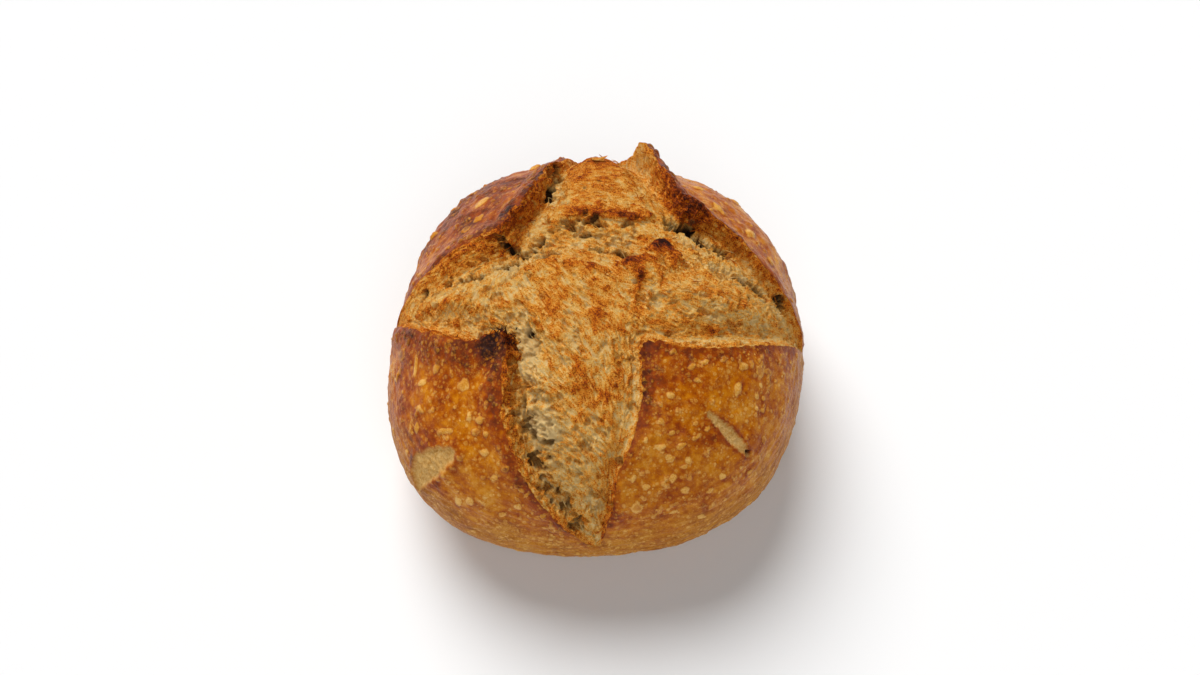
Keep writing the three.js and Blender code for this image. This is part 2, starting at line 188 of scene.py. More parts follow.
# A deep hole is also painted darker inside, as painted shade, besides being cut in.
# Open holes in the crumb: x, y, length, width, the way the length runs in degrees, depth.
HOLES = (
    (0, 33.5, 13, 2.2, -16, 6.0),  # slit under the back lip
    (-13, 33, 9, 2.2, 5, 2.8),
    (16, 33, 8, 2.0, 10, 2.8),
    (-22, 66, 17, 3.5, 80, 4.5),
    (-20, 83, 12, 3, 75, 4.0),
    (-44, 21, 7, 4, -20, 5.5),
    (-37, 17, 8, 3.5, -20, 5.0),
    (-29, 14, 10, 3, -5, 4.5),
    (-29, 25, 7, 2.4, 30, 3.5),
    (-17, 20, 5, 3, 0, 3.0),
    (2, 18, 9, 3, -20, 3.5),
    (13, 15, 11, 5, -25, 4.0),
    (-5, 27, 6, 2.2, 10, 3.2),
    (-25, 15, 9, 4, 5, 4.0),
    (-47, 12, 16, 4, 8, 5.5),  # shadow under the left back quarter
    (-63, 8, 11, 4, -4, 4.0),
    (43, 36, 18, 8, -25, 6.0),  # gas pockets under the right back quarter
    (54, 28.5, 14, 8, -35, 6.0),
    (66, 24.5, 13, 7, -20, 6.0),
    (66, 9, 16, 6, -5, 2.2),
    (78, 8, 9, 4, -10, 4.0),
    (90, 5.5, 18, 8, -22, 6.0),
    (110, 4, 18, 3.2, -40, 4.5),
    (119, -6, 11, 8, -40, 3.2),
    (-29, -32, 12, 4, -55, 2.2),  # hollows along the front arm
    (-31, -27, 4, 3, -50, 4.5),
    (-30, -53, 7, 5, -50, 2.0),
    (-25, -58, 4, 3, -40, 3.5),
    (-33, -66, 13, 2.6, 88, 3.2),
    (-30, -78, 9, 3, -76, 3.5),
    (-24, -83, 7, 3, -20, 3.5),
    (-29, -94, 9, 3.2, -66, 3.7),
    (-24, -108, 6, 3, -62, 3.4),
    (-17, -121, 7, 2.8, -60, 3.6),
    (-5, -88, 8, 5, -60, 2.2),
    (12, -95, 4, 4, 20, 2.4),
    (0, -117, 13, 11, 60, 2.0),
    (-100, 10, 6, 3, 60, 3.0),
    (-84, 9, 8, 3, 60, 3.5),
    (-50, -9, 6, 5, 60, 2.0),
    (60, -12, 7, 7, 0, 1.4),
    (30, -14, 9, 7, 0, 1.4),
)

# Lines along which small pits web the crumb: the line, how many pits, and how far they stray from it.
WEBS = (
    (((-30, -86), (-24, -104), (-16, -121), (-8, -136)), 44, 2.2),
    (((-33, -58), (-33, -76)), 14, 1.6),
    (((-46, 20), (-34, 20), (-22, 15)), 26, 4.0),
    (((-12, 34), (4, 35), (20, 31)), 14, 2.0),
    (((-24, 58), (-20, 86)), 14, 1.6),
    (((36, 37), (52, 28), (70, 22)), 24, 2.6),
    (((78, 8), (96, 3), (116, -6)), 26, 2.8),
    (((-102, 8), (-84, 8), (-62, 8)), 18, 3.0),
)

# Which way the strands of crumb run: x, y, degrees from the x axis.
STRANDS_RUN = (
    (-10, -8, -40),
    (-28, -20, -50),
    (0, -40, -55),
    (-12, -70, -60),
    (-24, -84, -20),
    (-14, -105, -30),
    (6, -110, -70),
    (14, -60, -88),
    (40, 0, -20),
    (75, -5, -8),
    (110, -5, -12),
    (60, 18, -30),
    (60, -30, 4),
    (0, 50, -4),
    (0, 90, 6),
    (0, 22, -25),
    (-62, 0, 60),
    (-100, 4, 40),
    (-52, -18, -42),
)
STRANDS_BLEND = 18.0  # how far a row above reaches

# How much more or less the crumb toasted: x, y, reach along x, reach along y, amount.
CRUMB_PATCHES = (
    (0, 72, 20, 24, 0.18),
    (-2, 98, 18, 12, 0.24),
    (4, 39, 22, 3.0, 0.22),
    (33, 18, 7, 7, 0.58),
    (38, 8, 8, 6, 0.22),
    (20, 7, 7, 2.5, 0.16),
    (8, 2, 7, 4, 0.12),
    (-10, 0, 18, 7, 0.10),
    (4, -14, 7, 9, 0.20),
    (5, -28, 8, 6, 0.20),
    (6, -60, 10, 9, 0.18),
    (-8, -62, 7, 7, 0.10),
    (6, -100, 6, 8, 0.16),
    (12, -40, 6, 7, -0.06),
    (-9, -30, 7, 9, -0.05),
    (-2, -84, 8, 9, -0.12),
    (-20, -18, 8, 10, 0.12),
    (16, 6, 9, 3, 0.22),
    (22, -2, 2.5, 8, 0.16),
    (-12, -34, 5, 8, -0.08),
    (-6, 22, 34, 8, -0.10),
    (-44, 8, 12, 9, -0.12),
    (-30, -38, 6, 14, -0.24),
    (-27, -74, 7, 15, -0.38),
    (-35, -26, 5, 10, -0.24),
    (-16, -104, 9, 20, -0.18),
    (-3, -118, 8, 10, -0.04),
    (-18, 70, 4, 22, -0.26),
    (70, 12, 28, 5, -0.16),
    (46, 25, 14, 6, -0.18),
    (108, -3, 14, 6, -0.18),
    (60, -34, 44, 2.5, -0.14),
    (58, -12, 8, 5, -0.08),
    (30, -14, 6, 5, -0.12),
    (-62, 2, 16, 8, -0.12),
    (16, -66, 5, 20, -0.06),
)

# Darker and paler patches of crust: x, y, reach along x, reach along y, amount.
CRUST_PATCHES = (
    (-64, -88, 22, 26, -0.08),
    (-62, -58, 12, 10, -0.02),
    (-106, -48, 18, 30, 0.10),
    (-88, -70, 10, 10, 0.10),
    (48, -50, 22, 10, 0.14),
    (58, -76, 12, 8, 0.12),
    (84, -50, 20, 12, -0.02),
    (52, -118, 20, 14, 0.06),
    (88, 60, 28, 24, 0.04),
    (-80, 62, 36, 28, 0.29),
    (-50, 84, 22, 22, 0.22),
    (-56, 36, 10, 8, 0.12),
    (84, 38, 16, 8, 0.12),
    (-66, -34, 26, 6, 0.06),
    (-47, -35, 7, 6.5, 0.34),
    (-63, 64, 6, 5, -0.30),
    (-52, 88, 7, 5, -0.14),
)

# Large blisters: x, y, length, width, the way the length runs in degrees, rise.
BIG_BLISTERS = (
    (-79, -40, 6, 5, 0, 0.6),
    (-89, -45, 8, 4, 0, 0.6),
    (-62, -50, 8, 7, 20, 0.7),
    (-95, -35, 14, 4, 80, 0.7),
    (-91, -57, 5, 4, 0, 0.6),
    (-94, -66, 7, 5, 60, 0.7),
    (-74, -70, 10, 4, 0, 0.5),
    (-60, -65, 6, 3.5, 80, 0.6),
    (-54, -67, 5, 5, 0, 0.8),
    (-52, -74, 4, 4, 0, 0.6),
    (-54, -83, 5, 5, 0, 0.7),
    (-51, -96, 6, 4, 0, 0.5),
    (-77, -108, 6, 7, 0, 0.6),
    (-69, -108, 6, 7, 0, 0.6),
    (-42, -114, 5, 5, 0, 0.6),
    (-53, -119, 6, 4, 0, 0.5),
    (-116, -35, 9, 5, 60, 0.8),
    (37, -38, 3.5, 3, 0, 0.5),
    (46, -45, 7, 3, 30, 0.6),
    (53, -42, 6, 3, 30, 0.6),
    (75, -41, 6, 5, 0, 0.6),
    (72, -52, 9, 5, 80, 0.6),
    (87, -48, 4, 3, 0, 0.6),
    (85, -54, 4, 4, 0, 0.6),
    (90, -54, 4, 3, 0, 0.6),
    (85, -60, 4, 3, 0, 0.6),
    (90, -60, 4, 3, 0, 0.6),
    (49, -51, 4, 3, 0, 0.5),
    (36, -60, 5, 4, 0, 0.5),
    (38, -78, 4, 3, 0, 0.5),
    (25, -83, 4, 3, 90, 0.5),
    (32, -73, 4, 4, 0, 0.5),
    (32, -86, 6, 3.5, 0, 0.4),
    (38, -91, 6, 5, 0, 0.6),
    (48, -91, 5, 4.5, 0, 0.6),
    (20, -103, 5, 3, 70, 0.5),
    (41, -101, 6, 5, 70, 0.6),
    (49, -107, 6, 5, 0, 0.6),
    (27, -107, 5, 4, 20, 0.5),
    (64, -123, 6, 4, 0, 0.5),
    (69, -97, 5, 4.5, 0, 0.5),
    (64, -106, 6, 3, 30, 0.4),
    (45, -121, 7, 2.5, 30, 0.4),
    (43, -84, 7, 3, 35, 0.5),
    (50, -79, 6, 2.5, 35, 0.5),
    (56, -74, 5, 2.5, 35, 0.4),
    (-87, 81, 8, 6, 60, 1.1),
    (-101, 64, 9, 7, 0, 1.1),
    (-36, 100, 9, 7, 0, 1.5),
    (-62, 64, 12, 8, 40, 0.6),
    (-63, 49, 8, 6, 30, 0.8),
    (66, 58, 9, 6, -30, 0.9),
    (85, 47, 9, 8, -50, 1.2),
    (57, 76, 8, 6, 0, 0.8),
    (98, 32, 8, 7, -60, 1.0),
    (82, 80, 9, 8, 0, 1.4),
)

# Blisters whose tops fell in, so that a pale ring is left: x, y, length, width.
RINGS = (
    (-109, -25, 11, 8),
    (86, -41, 8, 7),
    (93, -40, 6, 5),
    (-71, 44, 8, 7),
    (23, -119, 8, 8),
    (94, -75, 5, 5),
    (-44, -92, 5, 4),
)

# A short cut that opened on the right front quarter, and a small deep hole at its end.
CUT_ENDS = ((57, -67), (83, -84))
CUT_WIDTH = 7.0
# The hole is painted darker inside, as painted shade.
CUT_HOLE = (83, -83)
CUT_HOLE_RADIUS = 1.4

# The crescent on the left front quarter where the crust split open and bare crumb shows.
BARE_OUTLINE = (
    (-109, -91), (-102, -81), (-90, -77), (-75, -77), (-68, -81),
    (-75, -88), (-86, -93), (-99, -98), (-111, -100),
)


def smooth(t):
    """Eases from 0 to 1 with level ends, and stays there beyond them."""
    t = np.clip(t, 0, 1)
    return t * t * (3 - 2 * t)


def bell(x):
    """1 at 0, and about a third at 1 and -1."""
    return np.exp(-x * x)


def make_profile():
    """The loaf's side outline: the distance along it from the crown, the radius and the height."""
    power = 2 / DOME_POWER
    turn = np.linspace(0, math.pi / 2, PROFILE_STEPS)
    foot_end = math.asin((1 / FOOT_REACH) ** (1 / power))
    foot = np.linspace(0, foot_end, PROFILE_STEPS)[1:]
    r = np.concatenate([RADIUS * np.sin(turn) ** power, RADIUS * np.cos(foot) ** power])
    z = np.concatenate([
        WIDEST_AT + (HEIGHT - WIDEST_AT) * np.abs(np.cos(turn)) ** power,
        WIDEST_AT * (1 - FOOT_REACH * np.sin(foot) ** power),
    ])
    r = np.append(r, BASE_MIDDLE)
    z = np.append(np.maximum(z, 0), 0)
    along = np.concatenate([[0], np.cumsum(np.hypot(np.diff(r), np.diff(z)))])
    return along, r, z


PROFILE = make_profile()
SKIN = PROFILE[0][-1]  # along the crust from the crown to the last ring of the base
FOOT_AT = PROFILE[0][-2]  # and to the edge of the base
FOOT_EASE_START = 14.0  # so far before that edge the relief starts to die away
FOOT_EASE = 12.0  # and over this distance
BASE_MARGIN = 2.0  # from so far before that edge the crust lies flat on the floor


def smooth_loaf(q):
    """Places along the crust to points in space."""
    along, r, z = PROFILE
    out = np.hypot(q[:, 0], q[:, 1])
    angle = np.arctan2(q[:, 1], q[:, 0])
    outline = 1 + sum(
        c * np.cos(k * angle) + s * np.sin(k * angle) for k, (c, s) in enumerate(OUTLINE_WAVES, 1)
    )
    wide = np.interp(out, along, r) * outline
    return np.stack([wide * np.cos(angle), wide * np.sin(angle), np.interp(out, along, z)], axis=1)


def slopes_at(q):
    """How the smooth loaf's points move for a step of one along each axis of the crust."""
    return [smooth_loaf(q + half) - smooth_loaf(q - half) for half in ((0.5, 0), (0, 0.5))]


def above_foot(q):
    """1 on the top and the side, easing to 0 where the crust turns under to the base."""
    return 1 - smooth((np.hypot(*q.T) - FOOT_AT + FOOT_EASE_START) / FOOT_EASE)


def unit(vectors):
    return vectors / np.maximum(np.linalg.norm(vectors, axis=1, keepdims=True), 1e-9)


def heading(way):
    """A direction along the crust as degrees from its x axis."""
    return math.degrees(math.atan2(way[1], way[0]))


def left_of(ways):
    """Directions turned a quarter to the left."""
    return np.stack([-ways[:, 1], ways[:, 0]], axis=1)


def along_crust(ways, chart_way):
    """Directions along the crust's axes as directions in space."""
    return unit(ways[0] * chart_way[:, :1] + ways[1] * chart_way[:, 1:])


def patched(q, patches):
    """The sum of soft patches: x, y, reach along x, reach along y, amount."""
    return sum(
        amount * bell(np.hypot((q[:, 0] - x) / reach_x, (q[:, 1] - y) / reach_y))
        for x, y, reach_x, reach_y, amount in patches
    )


def oval(q, x, y, length, width, degrees):
    """How far out each place is in an oval: 0 in its middle, 1 on its edge."""
    c, s = math.cos(math.radians(degrees)), math.sin(math.radians(degrees))
    right, back = (q - (x, y)).T
    return np.hypot((right * c + back * s) / (length / 2), (back * c - right * s) / (width / 2))


# ---------------------------------------------------------------------------------------------------------
# Noise and lines
# ---------------------------------------------------------------------------------------------------------

AT_ONCE = 20000  # so many places are worked out at once, to spare memory


class Noise:
    """Smooth noise of about -1 to 1, one cell to a unit. It repeats after so many cells."""

    CELLS = 64
    GAIN = 1.7  # brings it to about -1 to 1

    def __init__(self, seed, axes):
        self.axes = axes
        slopes = np.random.default_rng(seed).normal(size=(self.CELLS,) * axes + (axes,))
        self.slopes = slopes / np.linalg.norm(slopes, axis=-1, keepdims=True)

    def __call__(self, points):
        cell = np.floor(points).astype(int)
        inner = points - cell
        ease = inner**3 * (inner * (inner * 6 - 15) + 10)
        total = np.zeros(len(points))
        for corner in itertools.product((0, 1), repeat=self.axes):
            slope = self.slopes[tuple((cell + corner).T % self.CELLS)]
            weight = np.where(corner, ease, 1 - ease).prod(axis=1)
            total += weight * ((inner - corner) * slope).sum(axis=1)
        return total * self.GAIN


class Near:
    """Finds quickly which of many places lie near one."""

    def __init__(self, places):
        self.order = np.argsort(places[:, 0], kind="stable")
        self.places = places[self.order]

    def find(self, x, y, reach):
        low, high = np.searchsorted(self.places[:, 0], (x - reach, x + reach))
        close = np.abs(self.places[low:high, 1] - y) < reach
        return self.order[low:high][close]


def curve_through(points, closed, step):
    """A smooth line through the points, in steps of about the given length, with the row that each step has
    reached. The spacing of its knots keeps it from looping at sharp bends."""
    points = np.asarray(points, float)
    n = len(points)
    if closed:
        ring = points[np.arange(-1, n + 2) % n]
    else:
        ring = np.vstack([2 * points[0] - points[1], points, 2 * points[-1] - points[-2]])
    knots = np.concatenate([[0], np.cumsum(np.sqrt(np.linalg.norm(np.diff(ring, axis=0), axis=1)))])
    line = []
    rows = []
    for i in range(1, len(ring) - 2):
        a, b = ring[i], ring[i + 1]
        gap = knots[i + 1] - knots[i]
        leave = (b - ring[i - 1]) / (knots[i + 1] - knots[i - 1]) * gap
        arrive = (ring[i + 2] - a) / (knots[i + 2] - knots[i]) * gap
        count = max(2, math.ceil(np.linalg.norm(b - a) / step))
        t = np.arange(count)[:, None] / count
        line.append(
            (2 * t**3 - 3 * t**2 + 1) * a + (t**3 - 2 * t**2 + t) * leave
            + (3 * t**2 - 2 * t**3) * b + (t**3 - t**2) * arrive
        )
        rows.append(i - 1 + t[:, 0])
    if not closed:
        line.append(points[-1:])
        rows.append([n - 1])
    return np.vstack(line), np.concatenate(rows)


def nearest_on(line, q):
    """For each place: the distance to the line, which piece of it is nearest, how far along that piece, and
    which side of it the place is on, positive to the left."""
    start, run = line[:-1], np.diff(line, axis=0)
    size = (run**2).sum(axis=1)
    parts = []
    for some in np.array_split(q, max(1, len(q) // AT_ONCE)):
        rel_x = some[:, :1] - start[:, 0]
        rel_y = some[:, 1:] - start[:, 1]
        share = np.clip((rel_x * run[:, 0] + rel_y * run[:, 1]) / size, 0, 1)
        gap = (rel_x - share * run[:, 0]) ** 2 + (rel_y - share * run[:, 1]) ** 2
        piece = gap.argmin(axis=1)
        row = np.arange(len(some))
        side = run[piece, 0] * rel_y[row, piece] - run[piece, 1] * rel_x[row, piece]
        parts.append((np.sqrt(gap[row, piece]), piece, share[row, piece], side))
    return [np.concatenate(column) for column in zip(*parts)]


def is_inside(ring, q):
    """Whether each place lies inside a closed ring."""
    inside = np.zeros(len(q), bool)
    for (ax, ay), (bx, by) in zip(ring, np.roll(ring, -1, axis=0)):
        if ay == by:
            continue
        crosses = (ay > q[:, 1]) != (by > q[:, 1])
        inside ^= crosses & (q[:, 0] < ax + (q[:, 1] - ay) / (by - ay) * (bx - ax))
    return inside


NOISE_2D = Noise(3, 2)
NOISE_3D = Noise(5, 3)


# ---------------------------------------------------------------------------------------------------------
# The large shape: rims, faces, tears
# ---------------------------------------------------------------------------------------------------------

RIM_TABLE = np.array(RIM, float)
RIM_LINE, RIM_ROWS = curve_through(RIM_TABLE[:, :2], True, RIM_STEP)
RIM_NAMES = ("lift", "curl", "face", "under", "dip", "bake", "burn", "band")


def rim_values(rows, name):
    """A column of the rim's table at rows and parts of rows."""
    column = RIM_TABLE[:, 2 + RIM_NAMES.index(name)]
    column = np.append(column, column[0])
    before = np.minimum(np.floor(rows).astype(int), len(RIM) - 1)
    return column[before] + (column[before + 1] - column[before]) * smooth(rows - before)


def edge_of_quarter(first, last):
    """The part of the rim that one quarter of crust has, from tip to tip."""
    start = int(np.argmax(RIM_ROWS >= first))
    stop = len(RIM_ROWS) if last == len(RIM) else int(np.argmax(RIM_ROWS >= last))
    picks = np.arange(start, stop + 1) % len(RIM_LINE)
    rows = np.append(RIM_ROWS[picks[:-1]], last)
    return RIM_LINE[picks], rows


QUARTERS = [edge_of_quarter(a, b) for a, b in zip(TIPS, TIPS[1:] + (len(RIM),))]
TEAR_LINES = [curve_through(line, False, TEAR_STEP)[0] for line, *_ in TEARS]


class Shape:
    """Everything about a set of places that follows from the tables above."""

    def __init__(self, q):
        self.q = q
        nearest = np.full(len(q), np.inf)
        self.row = np.zeros(len(q))
        self.tangent = np.zeros((len(q), 2))
        self.edges = []
        for line, rows in QUARTERS:
            distance, piece, share, _ = nearest_on(line, q)
            row = rows[piece] + share * (rows[piece + 1] - rows[piece])
            closer = distance < nearest
            nearest = np.where(closer, distance, nearest)
            self.row = np.where(closer, row, self.row)
            run = unit(np.diff(line, axis=0))
            before = run[np.maximum(piece - 1, 0)] * np.maximum(0.5 - share, 0)[:, None]
            after = run[np.minimum(piece + 1, len(run) - 1)] * np.maximum(share - 0.5, 0)[:, None]
            way = unit(run[piece] + before + after)
            self.edges.append((distance, row, left_of(way)))
            self.tangent = np.where(closer[:, None], way, self.tangent)
        jag = NOISE_2D(q / 5.0) + 0.7 * NOISE_2D(q / 2.1 + 9)
        ragged = (RIM_JAG + BURNT_JAG * self.rim("burn") ** 3) * jag * bell(nearest / JAG_REACH)
        sign = np.where(is_inside(RIM_LINE, q), 1, -1)
        self.within = sign * nearest + ragged
        self.edges = [
            (np.where(distance == nearest, sign * distance, distance) + ragged, row, inward)
            for distance, row, inward in self.edges
        ]
        self.inward = left_of(self.tangent)

    def rim(self, name):
        """The rim table's value at the nearest place on the rim."""
        return rim_values(self.row, name)

    def part(self, picks):
        """The same for some of the places only."""
        some = copy.copy(self)
        for name in ("q", "row", "tangent", "within", "inward"):
            setattr(some, name, getattr(self, name)[picks])
        some.edges = [tuple(values[picks] for values in edge) for edge in self.edges]
        return some

    def lift(self, row):
        """How far the rim stands up at rows of its table."""
        return rim_values(row, "lift") * (1 + RIM_WAVER * NOISE_2D(self.q / WAVER_SIZE))

    def crust_height(self):
        """How far the crust stands out where it curls up to the rim."""
        return self.lift(self.row) * bell(np.minimum(self.within, 0) / self.rim("curl"))

    def crumb_height(self):
        """How far the crumb stands out, and how it is tucked back under the rim, along the crust's axes."""
        open_share = np.ones(len(self.q))
        near_share = np.full(len(self.q), 1e-9)
        fall = np.zeros(len(self.q))
        tuck = np.zeros((len(self.q), 2))
        for distance, row, inward in self.edges:
            depth_in = np.maximum(distance, 0)
            face = rim_values(row, "face")
            close = 1 - smooth((depth_in - face) / DIP_REACH)
            down = smooth(depth_in / face)
            lift = self.lift(row)
            fall += close * (lift - (rim_values(row, "dip") + lift) * down)
            tuck -= (close * rim_values(row, "under") * down)[:, None] * inward
            near_share += close
            open_share *= 1 - close
        swell = patched(self.q, SWELLINGS)
        for (_, rise, left, right, _), line in zip(TEARS, TEAR_LINES):
            swell += self.tear(line, rise, left, right)
        total = near_share + open_share
        return (fall + open_share * swell) / total, tuck / total[:, None]

    def tear(self, line, rise, left, right):
        """How far a tear stands out, given how far it spreads to the left and right of its line."""
        distance, piece, share, side = nearest_on(line, self.q)
        along = np.concatenate([[0], np.cumsum(np.linalg.norm(np.diff(line, axis=0), axis=1))])
        reached = along[piece] + share * (along[piece + 1] - along[piece])
        end = np.minimum(reached, along[-1] - reached)
        reach = np.where(side > 0, left, right)
        return rise * smooth(end / TEAR_TAPER) * bell(distance / reach)


# ---------------------------------------------------------------------------------------------------------
# The mesh
# ---------------------------------------------------------------------------------------------------------

COARSE_GRID = 12  # cells along each side of the square that is wrapped over the loaf to start with
CRUMB_EDGE = 0.78  # the longest mesh edge on the crumb and at the rim
CRUST_EDGE = 1.25
UNDER_EDGE = 3.0  # and on the lower side
LOWER_AT = 165.0  # so far from the crown the lower side starts
LOWER_EASE = 50.0  # and over this distance the edges grow
RIM_MARGIN = 2.0  # so far outside the rim the mesh is as fine as in the opening
RIM_SNAP = 0.2 * CRUMB_EDGE  # vertices this close to the rim move on to it
FEW_EDGES = 0.0005  # so small a share of long edges is left as it is
MOST_ROUNDS = 24  # and so often at most is the mesh gone through
MOST_STRETCH = 2.0  # how many times longer than on the smooth loaf an edge may count
EDGE_GROWTH = 14.0  # millimetres from the rim over which the crust's edges grow to their full length


def wrapped_square():
    """A square of cells wrapped into a disc, with no corner and no pole, and its triangles."""
    line = np.linspace(-1, 1, COARSE_GRID + 1)
    u, v = (a.ravel() for a in np.meshgrid(line, line))
    wide = np.abs(u) > np.abs(v)
    size = np.where(wide, u, v)
    other = np.where(wide, v, u)
    turn = math.pi / 4 * other / np.where(size == 0, 1, size)
    near, far = size * SKIN * np.cos(turn), size * SKIN * np.sin(turn)
    q = np.where(wide[:, None], np.stack([near, far], 1), np.stack([far, near], 1))
    side = COARSE_GRID + 1
    i, j = (a.ravel() for a in np.meshgrid(np.arange(COARSE_GRID), np.arange(COARSE_GRID)))
    a, b, c, d = (k + j * side + i for k in (0, 1, side + 1, side))
    towards = (i < COARSE_GRID // 2) == (j < COARSE_GRID // 2)
    first = np.where(towards[:, None], np.stack([a, b, c], 1), np.stack([a, b, d], 1))
    second = np.where(towards[:, None], np.stack([a, c, d], 1), np.stack([b, c, d], 1))
    return q, np.vstack([first, second])


def edges_of(tris, count):
    """A number for each edge of each triangle, and the two ends of each numbered edge."""
    ends = tris[:, [[0, 1], [1, 2], [2, 0]]]
    low, high = ends.min(axis=2), ends.max(axis=2)
    keys, numbers = np.unique(low * count + high, return_inverse=True)
    return numbers.reshape(len(tris), 3), np.stack([keys // count, keys % count], axis=1)


def turned_to(tris, numbers, first):
    """Each triangle turned so that the edge in column first comes first."""
    order = (first[:, None] + np.arange(3)) % 3
    return np.take_along_axis(tris, order, axis=1), np.take_along_axis(numbers, order, axis=1)


def cut_marked(tris, numbers, middles):
    """Cuts triangles whose first edge is marked, then their halves where their other edges are. middles has
    the new vertex of each edge, or -1."""
    a, b, c = tris.T
    ab, bc, ca = middles[numbers].T
    whole = tris[ab < 0]
    out = [whole]
    cut = ab >= 0
    for apex_edge, (start, end, near) in ((ca, (c, a, ab)), (bc, (b, c, ab))):
        again = cut & (apex_edge >= 0)
        once = cut & (apex_edge < 0)
        out.append(np.stack([start, end, near], 1)[once])
        out.append(np.stack([start, apex_edge, near], 1)[again])
        out.append(np.stack([apex_edge, end, near], 1)[again])
    return np.vstack(out)


def wanted_edge(shape):
    """The longest mesh edge allowed at each place."""
    crust = CRUMB_EDGE + (CRUST_EDGE - CRUMB_EDGE) * smooth((-shape.within - RIM_MARGIN) / EDGE_GROWTH)
    crust = crust + (UNDER_EDGE - CRUST_EDGE) * smooth((np.hypot(*shape.q.T) - LOWER_AT) / LOWER_EASE)
    return np.where(shape.within > -RIM_MARGIN, CRUMB_EDGE, crust)


def raised(shape):
    """The loaf's large shape, and how its points move for a step along each axis of the crust."""
    q = shape.q
    inside = shape.within > 0
    height = shape.crust_height()
    tuck = np.zeros((len(q), 2))
    height[inside], tuck[inside] = shape.part(inside).crumb_height()
    ways = slopes_at(q)
    normal = unit(np.cross(*ways))
    point = smooth_loaf(q) + normal * (height * above_foot(q))[:, None]
    return point + ways[0] * tuck[:, :1] + ways[1] * tuck[:, 1:], ways


def measured(q):
    """What the mesh's fineness goes by: points on the smooth loaf and on the large shape, the longest edge
    allowed there, and the signed distance into the opening."""
    shape = Shape(q)
    return smooth_loaf(q), raised(shape)[0], wanted_edge(shape), shape.within


def refined_mesh():
    """Cuts the longest edge of every triangle that is too coarse, again and again, and so makes a mesh that
    is fine where the surface is rough."""
    q, tris = wrapped_square()
    plain, large, wanted, within = measured(q)
    for _ in range(MOST_ROUNDS):
        numbers, ends = edges_of(tris, len(q))
        plain_size, size = (np.linalg.norm(p[ends[:, 0]] - p[ends[:, 1]], axis=1) for p in (plain, large))
        size = np.minimum(size, MOST_STRETCH * plain_size)
        limit = wanted[ends].min(axis=1)
        tris, numbers = turned_to(tris, numbers, size[numbers].argmax(axis=1))
        marked = np.zeros(len(ends), bool)
        marked[numbers[(size > limit)[numbers[:, 0]], 0]] = True
        while True:
            before = marked.sum()
            marked[numbers[marked[numbers].any(axis=1), 0]] = True
            if marked.sum() == before:
                break
        if before < FEW_EDGES * len(ends):
            break
        middles = np.full(len(ends), -1)
        middles[marked] = len(q) + np.arange(before)
        tris = cut_marked(tris, numbers, middles)
        fresh = q[ends[marked]].mean(axis=1)
        q = np.vstack([q, fresh])
        fields = zip((plain, large, wanted, within), measured(fresh))
        plain, large, wanted, within = (np.concatenate(pair) for pair in fields)
    return q, tris, within


def follow_rim(q, tris, within):
    """Puts mesh edges all along the rim, so that the rim is crisp."""
    snap = np.abs(within) < RIM_SNAP
    shape = Shape(q[snap])
    q = q.copy()
    q[snap] -= shape.inward * within[snap, None]
    within = np.where(snap, 0, within)
    numbers, ends = edges_of(tris, len(q))
    a, b = within[ends].T
    crossing = a * b < 0
    share = (a / np.where(crossing, a - b, 1))[crossing, None]
    fresh = q[ends[crossing, 0]] * (1 - share) + q[ends[crossing, 1]] * share
    middles = np.full(len(ends), -1)
    middles[crossing] = len(q) + np.arange(crossing.sum())
    marked = crossing[numbers]
    tris, numbers = turned_to(tris, numbers, marked.argmax(axis=1))
    tris = cut_marked(tris, numbers, middles)
    return np.vstack([q, fresh]), tris, np.concatenate([within, np.zeros(len(fresh))])


# ---------------------------------------------------------------------------------------------------------
# The fine shape: strands, pores, holes, blisters
# ---------------------------------------------------------------------------------------------------------

# A layer of noise is the size of its lumps, where in the noise it starts, and its strength.

PLAIN_TOAST = 0.295  # on the scale of the crumb's shades
FACE_BLEND = 4.0  # past the torn face the strands turn to the table's way over this distance
STRAND_SWAY = 0.5  # in radians, how far the strands sway from side to side
SWAY_SIZE = 7.0
LUMPS = (9, 20, 1)
KNOTS = (3.6, 40, 1)
THICK_FIBRES = (7, 1.9, 30)  # length, width and where in the noise they start
THIN_FIBRES = (3.5, 0.95, 50)
LUMP_RISE, LUMP_TOAST = 0.70, 0.12  # how high, and how much more the high places toast
KNOT_RISE, KNOT_TOAST = 0.42, 0.12
THICK_RISE, THICK_TOAST = 0.30, 0.08
THIN_RISE, THIN_TOAST = 0.20, 0.055
TOAST_BLOTCHES = (5.5, 60, 0.16)
FOOT_PALER = 0.22  # how much paler a torn face is at its foot

PORES = 2200
PORE_SIZES = (0.8, 1.8)  # the least, and how much more the largest is
PORE_TURN = 25  # in degrees, how far pores turn from the way of the strands
PIT_TURN = 35  # and pits from the way of their line
HOLE_WOBBLE = ((2.6, 0.34), (1.2, 0.24))  # sizes and strengths of the wobble in a hole's edge
HOLE_REACH = 0.75  # the farthest that a hole's edge may be from its middle, in hole lengths
# A deep hole is painted darker inside with painted shade, besides its real depth:
SHALLOW = 1.2  # a hole less deep than this isn't darker inside
DARK_AT = 5.5  # and one as deep as this is as dark as any

PLAIN_BROWN = 0.465  # on the scale of the crust's shades
CRUST_LUMPS = ((26, 0, 0.9), (9, 5, 0.5), (3.5, 8, 0.22))
CRUST_MOTTLE = ((22, 1, 0.12), (8, 3, 0.14), (3, 7, 0.12))
BUBBLES = (8, 11, 1.2)  # on the back quarters
BUBBLES_FROM = -10.0  # they start at this y
BUBBLES_EASE = 60.0
STREAK_SIZES = (13, 13, 2.4)  # the lower crust is drawn out in streaks round the loaf
STREAK_RISE = 0.3
STREAK_BROWN = 0.13
STREAKS_FROM = 95.0  # so far from the crown the streaks start
STREAKS_EASE = 35.0
RIM_BROWN = 0.36  # how much browner the crust is where the rim's table says 1
DRY_FROM = 122.0  # so far from the crown, give or take DRY_WAVER, the crust starts to be dry
DRY_EASE = 34.0
DRY_WAVER = (14, 9, 14)

